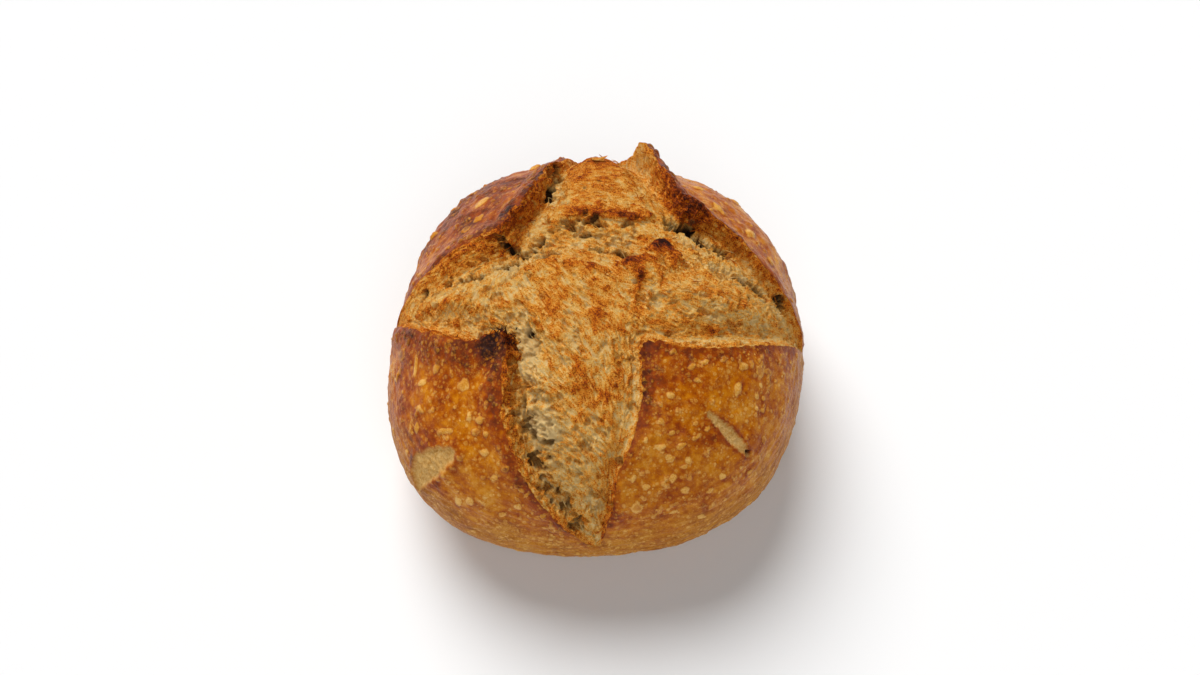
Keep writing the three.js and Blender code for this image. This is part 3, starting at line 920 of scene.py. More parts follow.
BLISTERS = 3000
BLISTER_RADII = (0.75, 1.4)  # the least, and how much more the largest is
BLISTER_RISE = 0.34  # as a share of the radius
BLISTER_REACH = 0.7  # the farthest that a large blister's edge may be from its middle, in its lengths
BIG_RING_RISE = 0.8
BLISTER_CROWDS = (15, 2, 1.3)

CUT_DEPTH = 1.1
CRESCENT_DEPTH = 1.8
CRESCENT_CURL = 1.3
CRUMBLY_CUT = (1.5, 6, 0.7)
CRUMBLY_CRESCENT = (1.8, 6, 0.9)
EDGE_BROWN = 0.16  # how much browner the edges of the cut and the crescent are
CUT_HOLE_DEPTH = 2.5
# Painted shade: how much darker the crust is painted down in the cut's hole.
CUT_HOLE_SHADE = 0.8


def layered(point, *layers):
    """The sum of layers of noise."""
    return sum(strength * NOISE_3D(point / size + start) for size, start, strength in layers)


def mostly_small(least, spread, draw):
    return least + spread * draw.random() ** 3


def strand_way(shape):
    """The way the strands run at each place: along the rim on a torn face, and as the table says elsewhere.
    Ways are blended as doubled angles, because a strand runs both ways."""
    turned = np.zeros((len(shape.q), 2))
    for x, y, degrees in STRANDS_RUN:
        weight = bell(np.hypot(shape.q[:, 0] - x, shape.q[:, 1] - y) / STRANDS_BLEND) + 1e-6
        double = math.radians(2 * degrees)
        turned += weight[:, None] * (math.cos(double), math.sin(double))
    x, y = shape.tangent.T
    along_rim = np.stack([x * x - y * y, 2 * x * y], axis=1)
    on_face = bell(np.maximum(shape.within - shape.rim("face"), 0) / FACE_BLEND)[:, None]
    turned = unit(unit(turned) * (1 - on_face) + along_rim * on_face)
    angle = np.arctan2(turned[:, 1], turned[:, 0]) / 2 + STRAND_SWAY * NOISE_2D(shape.q / SWAY_SIZE + 3)
    return np.stack([np.cos(angle), np.sin(angle)], axis=1)


def fibres(point, way, length, width, shift):
    """Fine crests drawn out along the strands, of about -2 to 1 with a mean of 0."""
    taps = np.linspace(-0.5, 0.5, max(4, round(1.6 * length / width)))  # so close that no gap shows
    total = sum(NOISE_3D((point + way * (t * length)) / width + shift) for t in taps)
    crests = -np.abs(total / total.std())
    return (crests - crests.mean()) / crests.std()


def hollow_out(q, near, holes):
    """How deep each place lies in the given holes, and how far inside a deep hole it is, from 0 to 1, which
    sets the painted shade there. A hole's edge wobbles, and its wall takes up the outer part of the oval."""
    depth = np.zeros(len(q))
    inside = np.zeros(len(q))
    for x, y, length, width, degrees, deep in holes:
        picks = near.find(x, y, HOLE_REACH * max(length, width))
        away = oval(q[picks], x, y, length, width, degrees)
        wobble = sum(strength * NOISE_2D(q[picks] / size) for size, strength in HOLE_WOBBLE)
        share = smooth((1.2 - away + wobble) / 0.5)
        depth[picks] = np.maximum(depth[picks], deep * share)
        inside[picks] = np.maximum(inside[picks], share * smooth((deep - SHALLOW) / (DARK_AT - SHALLOW)))
    return depth, inside


def random_pores(draw, q, chart_way, share):
    """Small holes strewn over the crumb, more of them where share is high, drawn out along the strands."""
    pores = []
    for pick in draw.choice(len(q), PORES, p=share / share.sum()):
        size = mostly_small(*PORE_SIZES, draw)
        degrees = heading(chart_way[pick]) + draw.normal() * PORE_TURN
        length = size * draw.uniform(1.2, 3.0)
        pores.append((*q[pick], length, size, degrees, size * draw.uniform(0.4, 1.0)))
    return pores


def webbed_pits(draw):
    """Small pits along the webs' lines, drawn out about the way the lines run."""
    pits = []
    for line, count, stray in WEBS:
        path, _ = curve_through(line, False, RIM_STEP)
        runs = np.gradient(path, axis=0)
        for at in draw.integers(len(path), size=count):
            x, y = path[at] + draw.normal(size=2) * stray
            size = draw.uniform(1.2, 2.6)
            degrees = heading(runs[at]) + draw.normal() * PIT_TURN
            pits.append((x, y, size * draw.uniform(1.2, 2.4), size, degrees, draw.uniform(2.0, 4.2)))
    return pits


def plumped(q):
    """How far each place lies on a pillow, from 0 to 1, and how far the pillow raises it."""
    on_pillow = np.zeros(len(q))
    rise_here = np.zeros(len(q))
    for *place, rise in PILLOWS:
        share = smooth((1.15 - oval(q, *place) + 0.15 * NOISE_2D(q / 4)) / 0.5)
        on_pillow = np.maximum(on_pillow, share)
        rise_here = np.maximum(rise_here, rise * share)
    return on_pillow, rise_here


def crumb_details(shape, point, ways, draw):
    """The crumb's fine relief, how toasted it is, how much painted shade it has down in a hole, and which
    way its strands run.
    """
    q = shape.q
    chart_way = strand_way(shape)
    way = along_crust(ways, chart_way)
    lumps = layered(point, LUMPS)
    knots = layered(point, KNOTS)
    thick = fibres(point, way, *THICK_FIBRES)
    thin = fibres(point, way, *THIN_FIBRES)
    patches = patched(q, CRUMB_PATCHES)
    near = Near(q)
    deep, inside = hollow_out(q, near, (*HOLES, *webbed_pits(draw)))
    pillow, plump = plumped(q)
    pale = np.clip(0.05 - patches * 1.6, 0.012, 1) + 0.4 * inside
    pore_deep, pore_shade = hollow_out(q, near, random_pores(draw, q, chart_way, pale))
    face = 1 - smooth((shape.within - 0.75 * shape.rim("face")) / 3.5)
    rough = (0.85 + 0.25 * np.clip(-patches * 2, 0, 1)) * (1 - 0.4 * face) * (1 - 0.6 * pillow)
    relief = LUMP_RISE * lumps * (1 - face)
    relief += rough * (KNOT_RISE * knots + THICK_RISE * thick + THIN_RISE * thin)
    relief *= 1 - 0.6 * inside
    height = smooth(shape.within / 2.5) * (relief + plump - pore_deep) - deep * smooth(shape.within / 1.5)

    crests = sum(shape.tear(line, bake, *TOASTED_REACH) for (*_, bake), line in zip(TEARS, TEAR_LINES))
    toast = PLAIN_TOAST + patches - 0.10 * pillow + crests
    toast += LUMP_TOAST * lumps + layered(point, TOAST_BLOTCHES)
    foot = smooth(shape.within / shape.rim("face"))
    toast = toast * (1 - face) + (shape.rim("bake") - FOOT_PALER * foot) * face
    toast += KNOT_TOAST * knots + THICK_TOAST * thick + THIN_TOAST * thin
    return height, toast, np.maximum(inside, 0.7 * pore_shade), way


def raise_blister(height, blister, near, q, x, y, length, width, degrees, rise, ring):
    """One large blister: ring is 1 where its top fell in and left a pale ring, and 0 where it didn't."""
    picks = near.find(x, y, BLISTER_REACH * max(length, width))
    dome = 1 - oval(q[picks], x, y, length, width, degrees) * (1 + 0.28 * NOISE_2D(q[picks] / 2.4))
    height[picks] += rise * smooth(dome / 0.7) * (1 - 0.5 * ring * smooth((dome - 0.35) / 0.3))
    pale = smooth(dome / 0.45) * (1 - 0.6 * ring * smooth((dome - 0.3) / 0.25))
    blister[picks] = np.maximum(blister[picks], pale)


def strew_blisters(height, blister, near, q, point, share, draw):
    """Small blisters, more of them where share is high."""
    for place in draw.choice(len(q), BLISTERS, p=share / share.sum()):
        radius = mostly_small(*BLISTER_RADII, draw)
        strength = draw.uniform(0.5, 1.0)
        stretch = max(1.0, np.hypot(*q[place]) / RADIUS)
        picks = near.find(*q[place], radius * 1.4 * stretch)
        away = np.linalg.norm(point[picks] - point[place], axis=1) / radius
        dome = 1 - away * (1 + 0.35 * NOISE_2D(q[picks] / 1.8))
        ring = 0.55 * smooth((dome - 0.35) / 0.2) * (radius > 1.0) * (strength > 0.7)
        height[picks] += BLISTER_RISE * radius * smooth(dome / 0.7) / stretch**2
        blister[picks] = np.maximum(blister[picks], smooth(dome / 0.5) * strength * (1 - ring))


def open_cut(q, point):
    """The short cut's relief, how much browner its edge is, and how bare its floor."""
    distance, _, share, _ = nearest_on(np.array(CUT_ENDS, float), q)
    half = CUT_WIDTH / 2 * (0.45 + 0.55 * np.sin(math.pi * np.clip(share, 0.06, 0.94)))
    bare = smooth((half * (1 + 0.25 * NOISE_2D(q / 2)) - distance) / 0.9)
    edge = bell((distance - half - 0.6) / 1.1) * (share > 0) * (share < 1)
    return 0.5 * edge + bare * (layered(point, CRUMBLY_CUT) - CUT_DEPTH), EDGE_BROWN * edge, bare


def open_crescent(q, point):
    """The same for the crescent where the crust split: its edge curls up, and its floor is crumbly."""
    outline, _ = curve_through(BARE_OUTLINE, True, RIM_STEP)
    inward = nearest_on(np.vstack([outline, outline[:1]]), q)[0] * np.where(is_inside(outline, q), 1, -1)
    inward += NOISE_2D(q / 5) + 0.3 * NOISE_2D(q / 1.8)
    edge = CRESCENT_CURL * bell(np.minimum(inward, 0) / 3) * (inward > -9)
    floor = smooth(inward / 2) * layered(point, CRUMBLY_CRESCENT) - CRESCENT_DEPTH * smooth(inward / 2.5)
    return edge + floor, EDGE_BROWN * bell((inward + 1.5) / 2.5), smooth((inward + 0.5) / 3)


def crust_details(shape, point, draw):
    """The crust's fine relief, how brown it is, with painted shade in the cut's hole, how much of a
    blister's pale skin it has, how bare it is, and how dry."""
    q = shape.q
    near = Near(q)
    out = np.hypot(*q.T)
    bubbly = smooth((q[:, 1] - BUBBLES_FROM) / BUBBLES_EASE)
    streaky = smooth((out - STREAKS_FROM) / STREAKS_EASE)
    height = layered(point, *CRUST_LUMPS) + bubbly * np.maximum(layered(point, BUBBLES), 0)
    height += STREAK_RISE * streaky * NOISE_3D(point / STREAK_SIZES + 15)
    blister = np.zeros(len(q))
    for row in BIG_BLISTERS:
        raise_blister(height, blister, near, q, *row, 0)
    for x, y, length, width in RINGS:
        raise_blister(height, blister, near, q, x, y, length, width, 0, BIG_RING_RISE, 1)
    crowd = 0.12 + smooth(0.5 + layered(point, BLISTER_CROWDS))
    # A mesh vertex stands for more crust on the lower side, where few blisters grow all the same.
    sparse = np.where(out > LOWER_AT, 4, 1) * (1 - 0.5 * smooth((out - 150) / 40))
    strew_blisters(height, blister, near, q, point, smooth(-shape.within / 4) * crowd * sparse, draw)

    ragged = 1 + 0.45 * NOISE_3D(point / 6 + 4)
    burnt = shape.rim("burn") * bell(np.minimum(shape.within, 0) / shape.rim("band") * ragged)
    brown = PLAIN_BROWN + patched(q, CRUST_PATCHES) + RIM_BROWN * burnt + layered(point, *CRUST_MOTTLE)
    brown += STREAK_BROWN * streaky * NOISE_3D(point / STREAK_SIZES + 12)
    blister *= 1 - 0.7 * np.clip(burnt, 0, 1)
    dry = smooth((out - DRY_FROM + layered(point, DRY_WAVER)) / DRY_EASE)

    cut_height, cut_brown, cut_bare = open_cut(q, point)
    crescent_height, crescent_brown, crescent_bare = open_crescent(q, point)
    # The cut's hole is painted darker inside, as painted shade.
    hole = smooth((1.4 - np.hypot(*(q - CUT_HOLE).T) / CUT_HOLE_RADIUS) / 0.8)
    height += cut_height + crescent_height - CUT_HOLE_DEPTH * hole
    brown += cut_brown + crescent_brown + CUT_HOLE_SHADE * hole
    bare = np.maximum(cut_bare, crescent_bare) * (1 - hole)
    return height * smooth(-shape.within / 3), brown, blister, bare, dry


# ---------------------------------------------------------------------------------------------------------
# Building the pieces
# ---------------------------------------------------------------------------------------------------------


def vertex_normals(point, tris):
    """The mean direction of the triangles round each point, by their areas."""
    a, b, c = point[tris].transpose(1, 0, 2)
    area = np.cross(b - a, c - a)
    normal = np.zeros_like(point)
    for corner in range(3):
        for axis in range(3):
            normal[:, axis] += np.bincount(tris[:, corner], area[:, axis], len(point))
    return unit(normal)


def make_piece(name, point, tris, fields, material, normals):
    """A mesh object of the given triangles, with only the vertices they use, and the fields stored on it."""
    used, tris = np.unique(tris, return_inverse=True)
    mesh = bpy.data.meshes.new(name)
    mesh.from_pydata((point[used] * MM).tolist(), [], tris.reshape(-1, 3).tolist(), shade_flat=False)
    for field, values in fields.items():
        kind, slot = ("FLOAT", "value") if values.ndim == 1 else ("FLOAT_VECTOR", "vector")
        stored = mesh.attributes.new(field, kind, "POINT")
        stored.data.foreach_set(slot, values[used].astype(np.float32).ravel())
    mesh.normals_split_custom_set_from_vertices(normals[used].tolist())
    mesh.materials.append(material)
    piece = bpy.data.objects.new(name, mesh)
    bpy.context.scene.collection.objects.link(piece)
    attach(piece, "root")
    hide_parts("loaf")


# ---------------------------------------------------------------------------------------------------------
# Materials
# ---------------------------------------------------------------------------------------------------------

THREAD_TAPS = 6  # a thread's noise is a mean of so many along it
THREAD_SHARPNESS = 17.0


class Nodes:
    """Makes the nodes of one material, or of the world."""

    def __init__(self, owner):
        owner.use_nodes = True
        self.owner = owner
        self.tree = owner.node_tree
        self.tree.nodes.clear()

    def node(self, kind, settings=None, **inputs):
        """A node of a type, with its settings, and with values or links on its sockets. In a socket's name
        an underscore stands for a space, and n0, n1 and so on are sockets by number."""
        node = self.tree.nodes.new(kind)
        for name, value in (settings or {}).items():
            if name == "stops":
                set_stops(node.color_ramp, value)
            else:
                setattr(node, name, value)
        for name, value in inputs.items():
            by_number = name[0] == "n" and name[1:].isdigit()
            socket = node.inputs[int(name[1:]) if by_number else name.replace("_", " ")]
            if isinstance(value, Wire):
                self.tree.links.new(value.socket, socket)
            else:
                socket.default_value = value
        return node

    def wire(self, kind, settings=None, output=0, **inputs):
        return Wire(self, self.node(kind, settings, **inputs).outputs[output])

    def field(self, name):
        """A number stored on the mesh."""
        return self.wire("ShaderNodeAttribute", {"attribute_name": name}, "Fac")

    def place(self):
        """The place on the piece, in millimetres."""
        where = self.wire("ShaderNodeTexCoord", {}, "Object")
        return self.wire("ShaderNodeVectorMath", {"operation": "SCALE"}, n0=where, Scale=1 / MM)

    def noise(self, size, detail=2.0, roughness=0.5, where=None):
        """Noise from 0 to 1 whose lumps are about the given size, in millimetres."""
        return self.wire(
            "ShaderNodeTexNoise", {}, "Fac",
            Vector=where or self.place(), Scale=1 / size, Detail=detail, Roughness=roughness,
        )

    def threads(self, way, length, width):
        """Threads drawn out along the way they run: 1 on a thread and 0 in the gaps."""
        place = self.place()
        add_step = {"operation": "MULTIPLY_ADD"}
        taps = []
        for share in np.linspace(-0.5, 0.5, THREAD_TAPS):
            step = (float(share) * length,) * 3
            where = self.wire("ShaderNodeVectorMath", add_step, n0=way, n1=step, n2=place)
            taps.append(self.noise(width, 1.0, 0.5, where))
        middle = sum(taps[1:], taps[0]) / THREAD_TAPS - 0.5
        return 1 - middle.math("ABSOLUTE") * THREAD_SHARPNESS

    def bump(self, strength, depth, height):
        """A normal for relief of about the given depth, in millimetres."""
        return self.wire("ShaderNodeBump", {}, Strength=strength, Distance=depth * MM, Height=height)

    def ramp(self, factor, stops):
        return self.wire("ShaderNodeValToRGB", {"stops": stops}, n0=factor)

    def mix(self, factor, a, b):
        """Colour a at 0 and colour b at 1."""
        return self.wire("ShaderNodeMix", {"data_type": "RGBA"}, 2, n0=factor, n6=a, n7=b)

    def dots(self, size):
        """Round dots of many sizes, from 0 to 1, about one to every second cell of the given size."""
        wobble = self.noise(size / 2, 2, 0.5)
        cells = self.node("ShaderNodeTexVoronoi", {}, Vector=self.place(), Scale=1 / size)
        room, distance = (Wire(self, cells.outputs[name]) for name in ("Color", "Distance"))
        return (room * 0.95 - 0.42 + wobble * 0.25 - distance).step(-0.02, 0.10)

    def finish(self, **inputs):
        """The surface itself, with the given values and links on its shader."""
        shader = self.wire("ShaderNodeBsdfPrincipled", {}, "BSDF", **inputs)
        self.node("ShaderNodeOutputMaterial", {}, Surface=shader)


class Wire:
    """A socket's value, which Python's operators work on."""

    def __init__(self, nodes, socket):
        self.nodes = nodes
        self.socket = socket

    def math(self, operation, *others, clamp=False):
        inputs = {f"n{i}": value for i, value in enumerate((self, *others))}
        return self.nodes.wire("ShaderNodeMath", {"operation": operation, "use_clamp": clamp}, **inputs)

    def reflected(self, operation, other):
        return self.nodes.wire("ShaderNodeMath", {"operation": operation}, n0=other, n1=self)

    def __add__(self, other):
        return self.math("ADD", other)

    def __sub__(self, other):
        return self.math("SUBTRACT", other)

    def __mul__(self, other):
        return self.math("MULTIPLY", other)

    def __truediv__(self, other):
        return self.math("DIVIDE", other)

    def __radd__(self, other):
        return self.reflected("ADD", other)

    def __rsub__(self, other):
        return self.reflected("SUBTRACT", other)

    def __rmul__(self, other):
        return self.reflected("MULTIPLY", other)

    def clamp(self):
        return self.math("ADD", 0.0, clamp=True)

    def step(self, low, high):
        """0 below low and 1 above high, eased between."""
        settings = {"interpolation_type": "SMOOTHSTEP"}
        return self.nodes.wire("ShaderNodeMapRange", settings, Value=self, From_Min=low, From_Max=high)


def set_stops(ramp, stops):
    while len(ramp.elements) > 1:
        ramp.elements.remove(ramp.elements[-1])
    for i, (position, colour) in enumerate(stops):
        element = ramp.elements[0] if i == 0 else ramp.elements.new(position)
        element.position = position
        element.color = colour


def shade(red, green, blue):
    """The light that a colour reflects, from its screen values of 0 to 255."""
    screen = (red / 255, green / 255, blue / 255)
    return (*(c / 12.92 if c <= 0.04045 else ((c + 0.055) / 1.055) ** 2.4 for c in screen), 1.0)


# Scales of shades, from pale to dark: where on the scale a shade lies, and the shade.
CRUST_SHADES = (
    (0.00, shade(226, 178, 98)),
    (0.16, shade(210, 148, 54)),
    (0.34, shade(194, 118, 12)),
    (0.48, shade(172, 90, 2)),
    (0.62, shade(144, 60, 4)),
    (0.80, shade(104, 42, 14)),
    (1.00, shade(46, 21, 15)),
)
DRY_SHADES = (
    (0.00, shade(218, 174, 98)),
    (0.35, shade(186, 132, 46)),
    (0.65, shade(154, 94, 16)),
    (1.00, shade(106, 56, 8)),
)
BARE_SHADES = (
    (0.00, shade(226, 190, 126)),
    (0.35, shade(204, 158, 88)),
    (0.65, shade(178, 120, 44)),
    (1.00, shade(120, 74, 28)),
)
CRUMB_SHADES = (
    (0.00, shade(244, 208, 142)),
    (0.18, shade(246, 196, 108)),
    (0.36, shade(242, 166, 60)),
    (0.52, shade(224, 124, 22)),
    (0.68, shade(186, 82, 12)),
    (0.84, shade(122, 48, 16)),
    (1.00, shade(54, 24, 18)),
)
# Painted shade for the crumb down in holes and pores, from a little to the darkest.
HOLE_SHADOW_SHADES = (
    (0.20, shade(196, 150, 92)),
    (0.55, shade(126, 90, 50)),
    (1.00, shade(54, 36, 20)),
)
CRUST_FIELDS = ("brown", "blister", "bare", "dry")
CRUMB_FIELDS = ("toast", "hollow", "way")


def crust_material():
    """Baked crust: a brown scale with pale skin on blisters and dots, drier lower down, and bare crumb."""
    n = Nodes(bpy.data.materials.new("baked crust"))
    brown, blister, bare, dry = (n.field(name) for name in CRUST_FIELDS)
    mottle = (n.noise(2.6, 4, 0.6) - 0.5) * 0.5
    speck = n.noise(0.75, 3, 0.6) - 0.5
    crumbly = n.noise(1.1, 4, 0.7) - 0.5
    dots = (n.dots(2.3) + n.dots(1.3) * 0.5).clamp()
    lines = (1 - (n.noise(3.6, 3, 0.55) - 0.5).math("ABSOLUTE") * 24).clamp()
    wisps = lines * n.noise(8, 2).step(0.46, 0.66)
    skin = blister + speck * blister * 0.9
    outline = skin.step(0.02, 0.22) - skin.step(0.26, 0.6)
    pale = (skin.step(0.12, 0.9) + dots * 0.5 + wisps * 0.34).clamp()

    plain = n.ramp(brown + mottle + speck * 0.26 + outline * 0.08, CRUST_SHADES)
    pale_skin = n.ramp(brown * 0.66 - 0.20 + mottle * 0.6 + speck * 0.7 - outline * 0.10, CRUST_SHADES)
    tan = n.ramp(0.36 + brown * 0.35 + mottle * 0.8 + speck * 0.8 - pale * 0.5, DRY_SHADES)
    crumb = n.ramp(0.34 + crumbly + speck * 0.5 + mottle * 1.6, BARE_SHADES)
    colour = n.mix(pale * 0.85, plain, pale_skin)
    colour = n.mix(dry * 0.62, colour, tan)
    colour = n.mix(bare, colour, crumb)

    grain = n.noise(0.6, 3, 0.6) * 0.4 + n.noise(1.7, 3, 0.55) * 0.9
    grain = grain + dots * 0.4 + wisps * 0.5 + crumbly * bare * 2
    rough = 0.20 + brown * 0.28 + dry * 0.15 + bare * 0.4 - mottle * 0.25 + speck * 0.4 - pale * 0.10
    n.finish(
        Base_Color=colour, Roughness=rough.clamp(), IOR=1.45, Specular_IOR_Level=0.13,
        Normal=n.bump(0.6, 0.4, grain),
    )
    return n.owner


def crumb_material():
    """Torn crumb: threads on a toasted scale with painted highlight on the threads and painted shade in the
    gaps between them, and grey-brown painted shade down in the holes and pores.
    """
    n = Nodes(bpy.data.materials.new("torn crumb"))
    toast, hollow = (n.field(name) for name in ("toast", "hollow"))
    way = n.wire("ShaderNodeAttribute", {"attribute_name": "way"}, "Vector")
    threads = n.threads(way, 6.0, 1.0).clamp()
    fuzz = n.threads(way, 3.0, 0.6).clamp()
    mottle = (n.noise(2.8, 4, 0.55) - 0.5) * 0.52
    speck = n.noise(0.7, 3, 0.6) - 0.5
    # gap is painted shade in the gaps between the threads, and lean paints the threads paler as painted
    # highlight and the gaps darker as painted shade.
    gap = (1 - threads * 2.0 + speck * 1.6 - fuzz * 0.6).clamp()
    lean = (0.5 - threads) * 0.20 + (0.5 - fuzz) * 0.10 + gap * 0.11
    colour = n.ramp(toast + mottle + speck * 0.26 + lean, CRUMB_SHADES)
    # Painted shade down in holes and pores, deepened a little in the gaps between threads.
    hole_shadow = n.ramp(hollow + speck * 0.4 + gap * 0.2, HOLE_SHADOW_SHADES)
    colour = n.mix((hollow * 1.25).clamp(), colour, hole_shadow)
    grain = n.noise(0.6, 3, 0.65) * 0.6 + n.noise(1.4, 3, 0.6) * 0.8 + threads * 0.9 + fuzz * 0.4
    n.finish(
        Base_Color=colour, Roughness=0.66, IOR=1.4, Specular_IOR_Level=0.14, Normal=n.bump(0.9, 0.6, grain)
    )
    return n.owner


# ---------------------------------------------------------------------------------------------------------
# Loose strands and the flake
# ---------------------------------------------------------------------------------------------------------

STRANDS = 760
BURNT_STRANDS = 46  # of them stand round the burnt corner of the left front quarter
BURNT_CORNER = (-42, -31)
STRAND_RINGS = 7
STRAND_SIDES = 5
STRAND_LENGTHS = (2.5, 5.5)
STRAND_RADII = (0.20, 0.38)
STRAND_ROOT = 0.4  # so deep in the crumb a strand starts
CHARRED = 0.95  # on the scale of the crumb's shades

# A thin scrap that stands up on the back arm.
FLAKE_PLACE = (1, 91)
FLAKE_LENGTH = 9.0
FLAKE_WIDTH = 5.0
FLAKE_THICKNESS = 1.5
FLAKE_LIFT = 1.2  # how far its middle is off the crumb
FLAKE_RINGS = 9
FLAKE_STEPS = 28


def ring_faces(rings, sides):
    """The triangles between rings of points that follow one another: two for each side of each gap."""
    grid = np.arange(rings * sides).reshape(rings, sides)
    a, b = grid[:-1], np.roll(grid[:-1], -1, axis=1)
    c, d = grid[1:], np.roll(grid[1:], -1, axis=1)
    return np.stack([a, b, d], axis=2), np.stack([a, d, c], axis=2)


def strand_faces():
    """The triangles of one strand, a closed tube."""
    sides = np.arange(1, STRAND_SIDES - 1)
    hub = np.zeros_like(sides)
    last = (STRAND_RINGS - 1) * STRAND_SIDES
    root = np.stack([hub, sides + 1, sides], axis=1)
    tip = np.stack([hub, sides, sides + 1], axis=1) + last
    round_it = [faces.reshape(-1, 3) for faces in ring_faces(STRAND_RINGS, STRAND_SIDES)]
    return np.vstack([*round_it, root, tip])


def strand_points(path, radii):
    """Rings of points round a path."""
    run = unit(np.gradient(path, axis=0))
    side = unit(np.cross(run, (0.31, 0.53, 0.79)))
    other = np.cross(run, side)
    turn = np.arange(STRAND_SIDES) * 2 * math.pi / STRAND_SIDES
    ring = np.cos(turn)[None, :, None] * side[:, None] + np.sin(turn)[None, :, None] * other[:, None]
    return (path[:, None] + ring * radii[:, None, None]).reshape(-1, 3)


def strand_places(shape, toast, hollow, draw):
    """Where strands grow: by the rims and the holes' edges, on pale crumb, and by the burnt corner."""
    face_end = shape.within - shape.rim("face")
    by_rim = bell(face_end / 3) * smooth((shape.rim("dip") - 2) / 3) * (shape.within > 2)
    share = 0.02 + by_rim + 1.5 * bell((hollow - 0.4) / 0.3) + 0.15 * (toast < 0.22)
    share *= shape.within > 1.5
    burnt = bell(np.hypot(*(shape.q - BURNT_CORNER).T) / 5) * (shape.within > 0.3)
    counts = (STRANDS - BURNT_STRANDS, share), (BURNT_STRANDS, burnt)
    return np.concatenate([draw.choice(len(toast), count, p=odds / odds.sum()) for count, odds in counts])


def make_loose(name, points, tris, toast, material):
    """A piece of loose crumb, toasted as given."""
    fields = {"toast": toast, "hollow": np.zeros(len(points)), "way": np.zeros(points.shape)}
    make_piece(name, points, tris, fields, material, vertex_normals(points, tris))


def make_strands(shape, point, normals, ways, toast, hollow, material, draw):
    """Thin torn strands that stand off the crumb."""
    way = along_crust(ways, strand_way(shape))
    places = strand_places(shape, toast, hollow, draw)
    t = np.linspace(0, 1, STRAND_RINGS)[:, None]
    points = []
    toasts = []
    for number, at in enumerate(places):
        charred = number >= STRANDS - BURNT_STRANDS
        length = draw.uniform(*STRAND_LENGTHS)
        lean = way[at] * draw.choice((-1, 1)) * draw.uniform(0.4, 1.0) + draw.normal(size=3) * 0.3
        if charred:
            lean = draw.normal(size=3) * 0.6 + normals[at]
        lean = unit((lean + normals[at] * draw.uniform(-0.05, 0.3))[None])[0]
        bend = (normals[at] * draw.uniform(0.1, 0.6) + draw.normal(size=3) * 0.25) * length
        path = point[at] - STRAND_ROOT * normals[at] + lean * length * t + bend * t * (1 - t)
        points.append(strand_points(path, draw.uniform(*STRAND_RADII) * (1 - 0.75 * t[:, 0] ** 1.5)))
        toasts.append(CHARRED if charred else toast[at] + draw.uniform(-0.26, 0.04))
    each = STRAND_RINGS * STRAND_SIDES
    tris = strand_faces() + each * np.arange(STRANDS)[:, None, None]
    make_loose("strands", np.vstack(points), tris.reshape(-1, 3), np.repeat(toasts, each), material)


def make_flake(q, point, normals, ways, material):
    """A ragged oval scrap, thickest in the middle, that curls up at one end."""
    at = np.hypot(*(q - FLAKE_PLACE).T).argmin()
    rings = np.linspace(0, 1, FLAKE_RINGS)
    steps = np.arange(FLAKE_STEPS) * 2 * math.pi / FLAKE_STEPS
    out, turn = (grid.ravel() for grid in np.meshgrid(rings, steps, indexing="ij"))
    ragged = out * (1 + 0.16 * np.sin(3 * turn + 1) + 0.08 * np.sin(7 * turn))
    u, v = ragged * np.cos(turn), ragged * np.sin(turn)
    body = FLAKE_THICKNESS / 2 * np.sqrt(1 - out**2)
    right, back = ways[0][at] * FLAKE_LENGTH / 2, ways[1][at] * FLAKE_WIDTH / 2
    flat = point[at] + np.outer(u, right) + np.outer(v, back)
    rise = FLAKE_LIFT + 0.9 * u * u + 0.5 * u
    points = np.vstack([flat + np.outer(rise + side * body, normals[at]) for side in (1, -1)])
    near, far = ring_faces(FLAKE_RINGS, FLAKE_STEPS)
    lower = np.vstack([near[1:].reshape(-1, 3), far.reshape(-1, 3)])  # the first ring is one point
    tris = np.vstack([lower[:, ::-1], lower + len(out)])
    make_loose("flake", points, tris, 0.22 + 0.1 * NOISE_3D(points / 2), material)


# ---------------------------------------------------------------------------------------------------------
# The loaf
# ---------------------------------------------------------------------------------------------------------

DRAW_SEED = 11


def close_base(point, tris):
    """A fan from the base's middle to the ring where the mesh stops."""
    numbers, _ = edges_of(tris, len(point))
    open_edges = np.bincount(numbers.ravel())[numbers] == 1
    fan = []
    for corner in range(3):
        rows = tris[open_edges[:, corner]]
        ends = rows[:, (corner + 1) % 3], rows[:, corner], np.full(len(rows), len(point))
        fan.append(np.stack(ends, axis=1))
    return np.vstack([point, [(0, 0, 0)]]), np.vstack([tris, *fan])


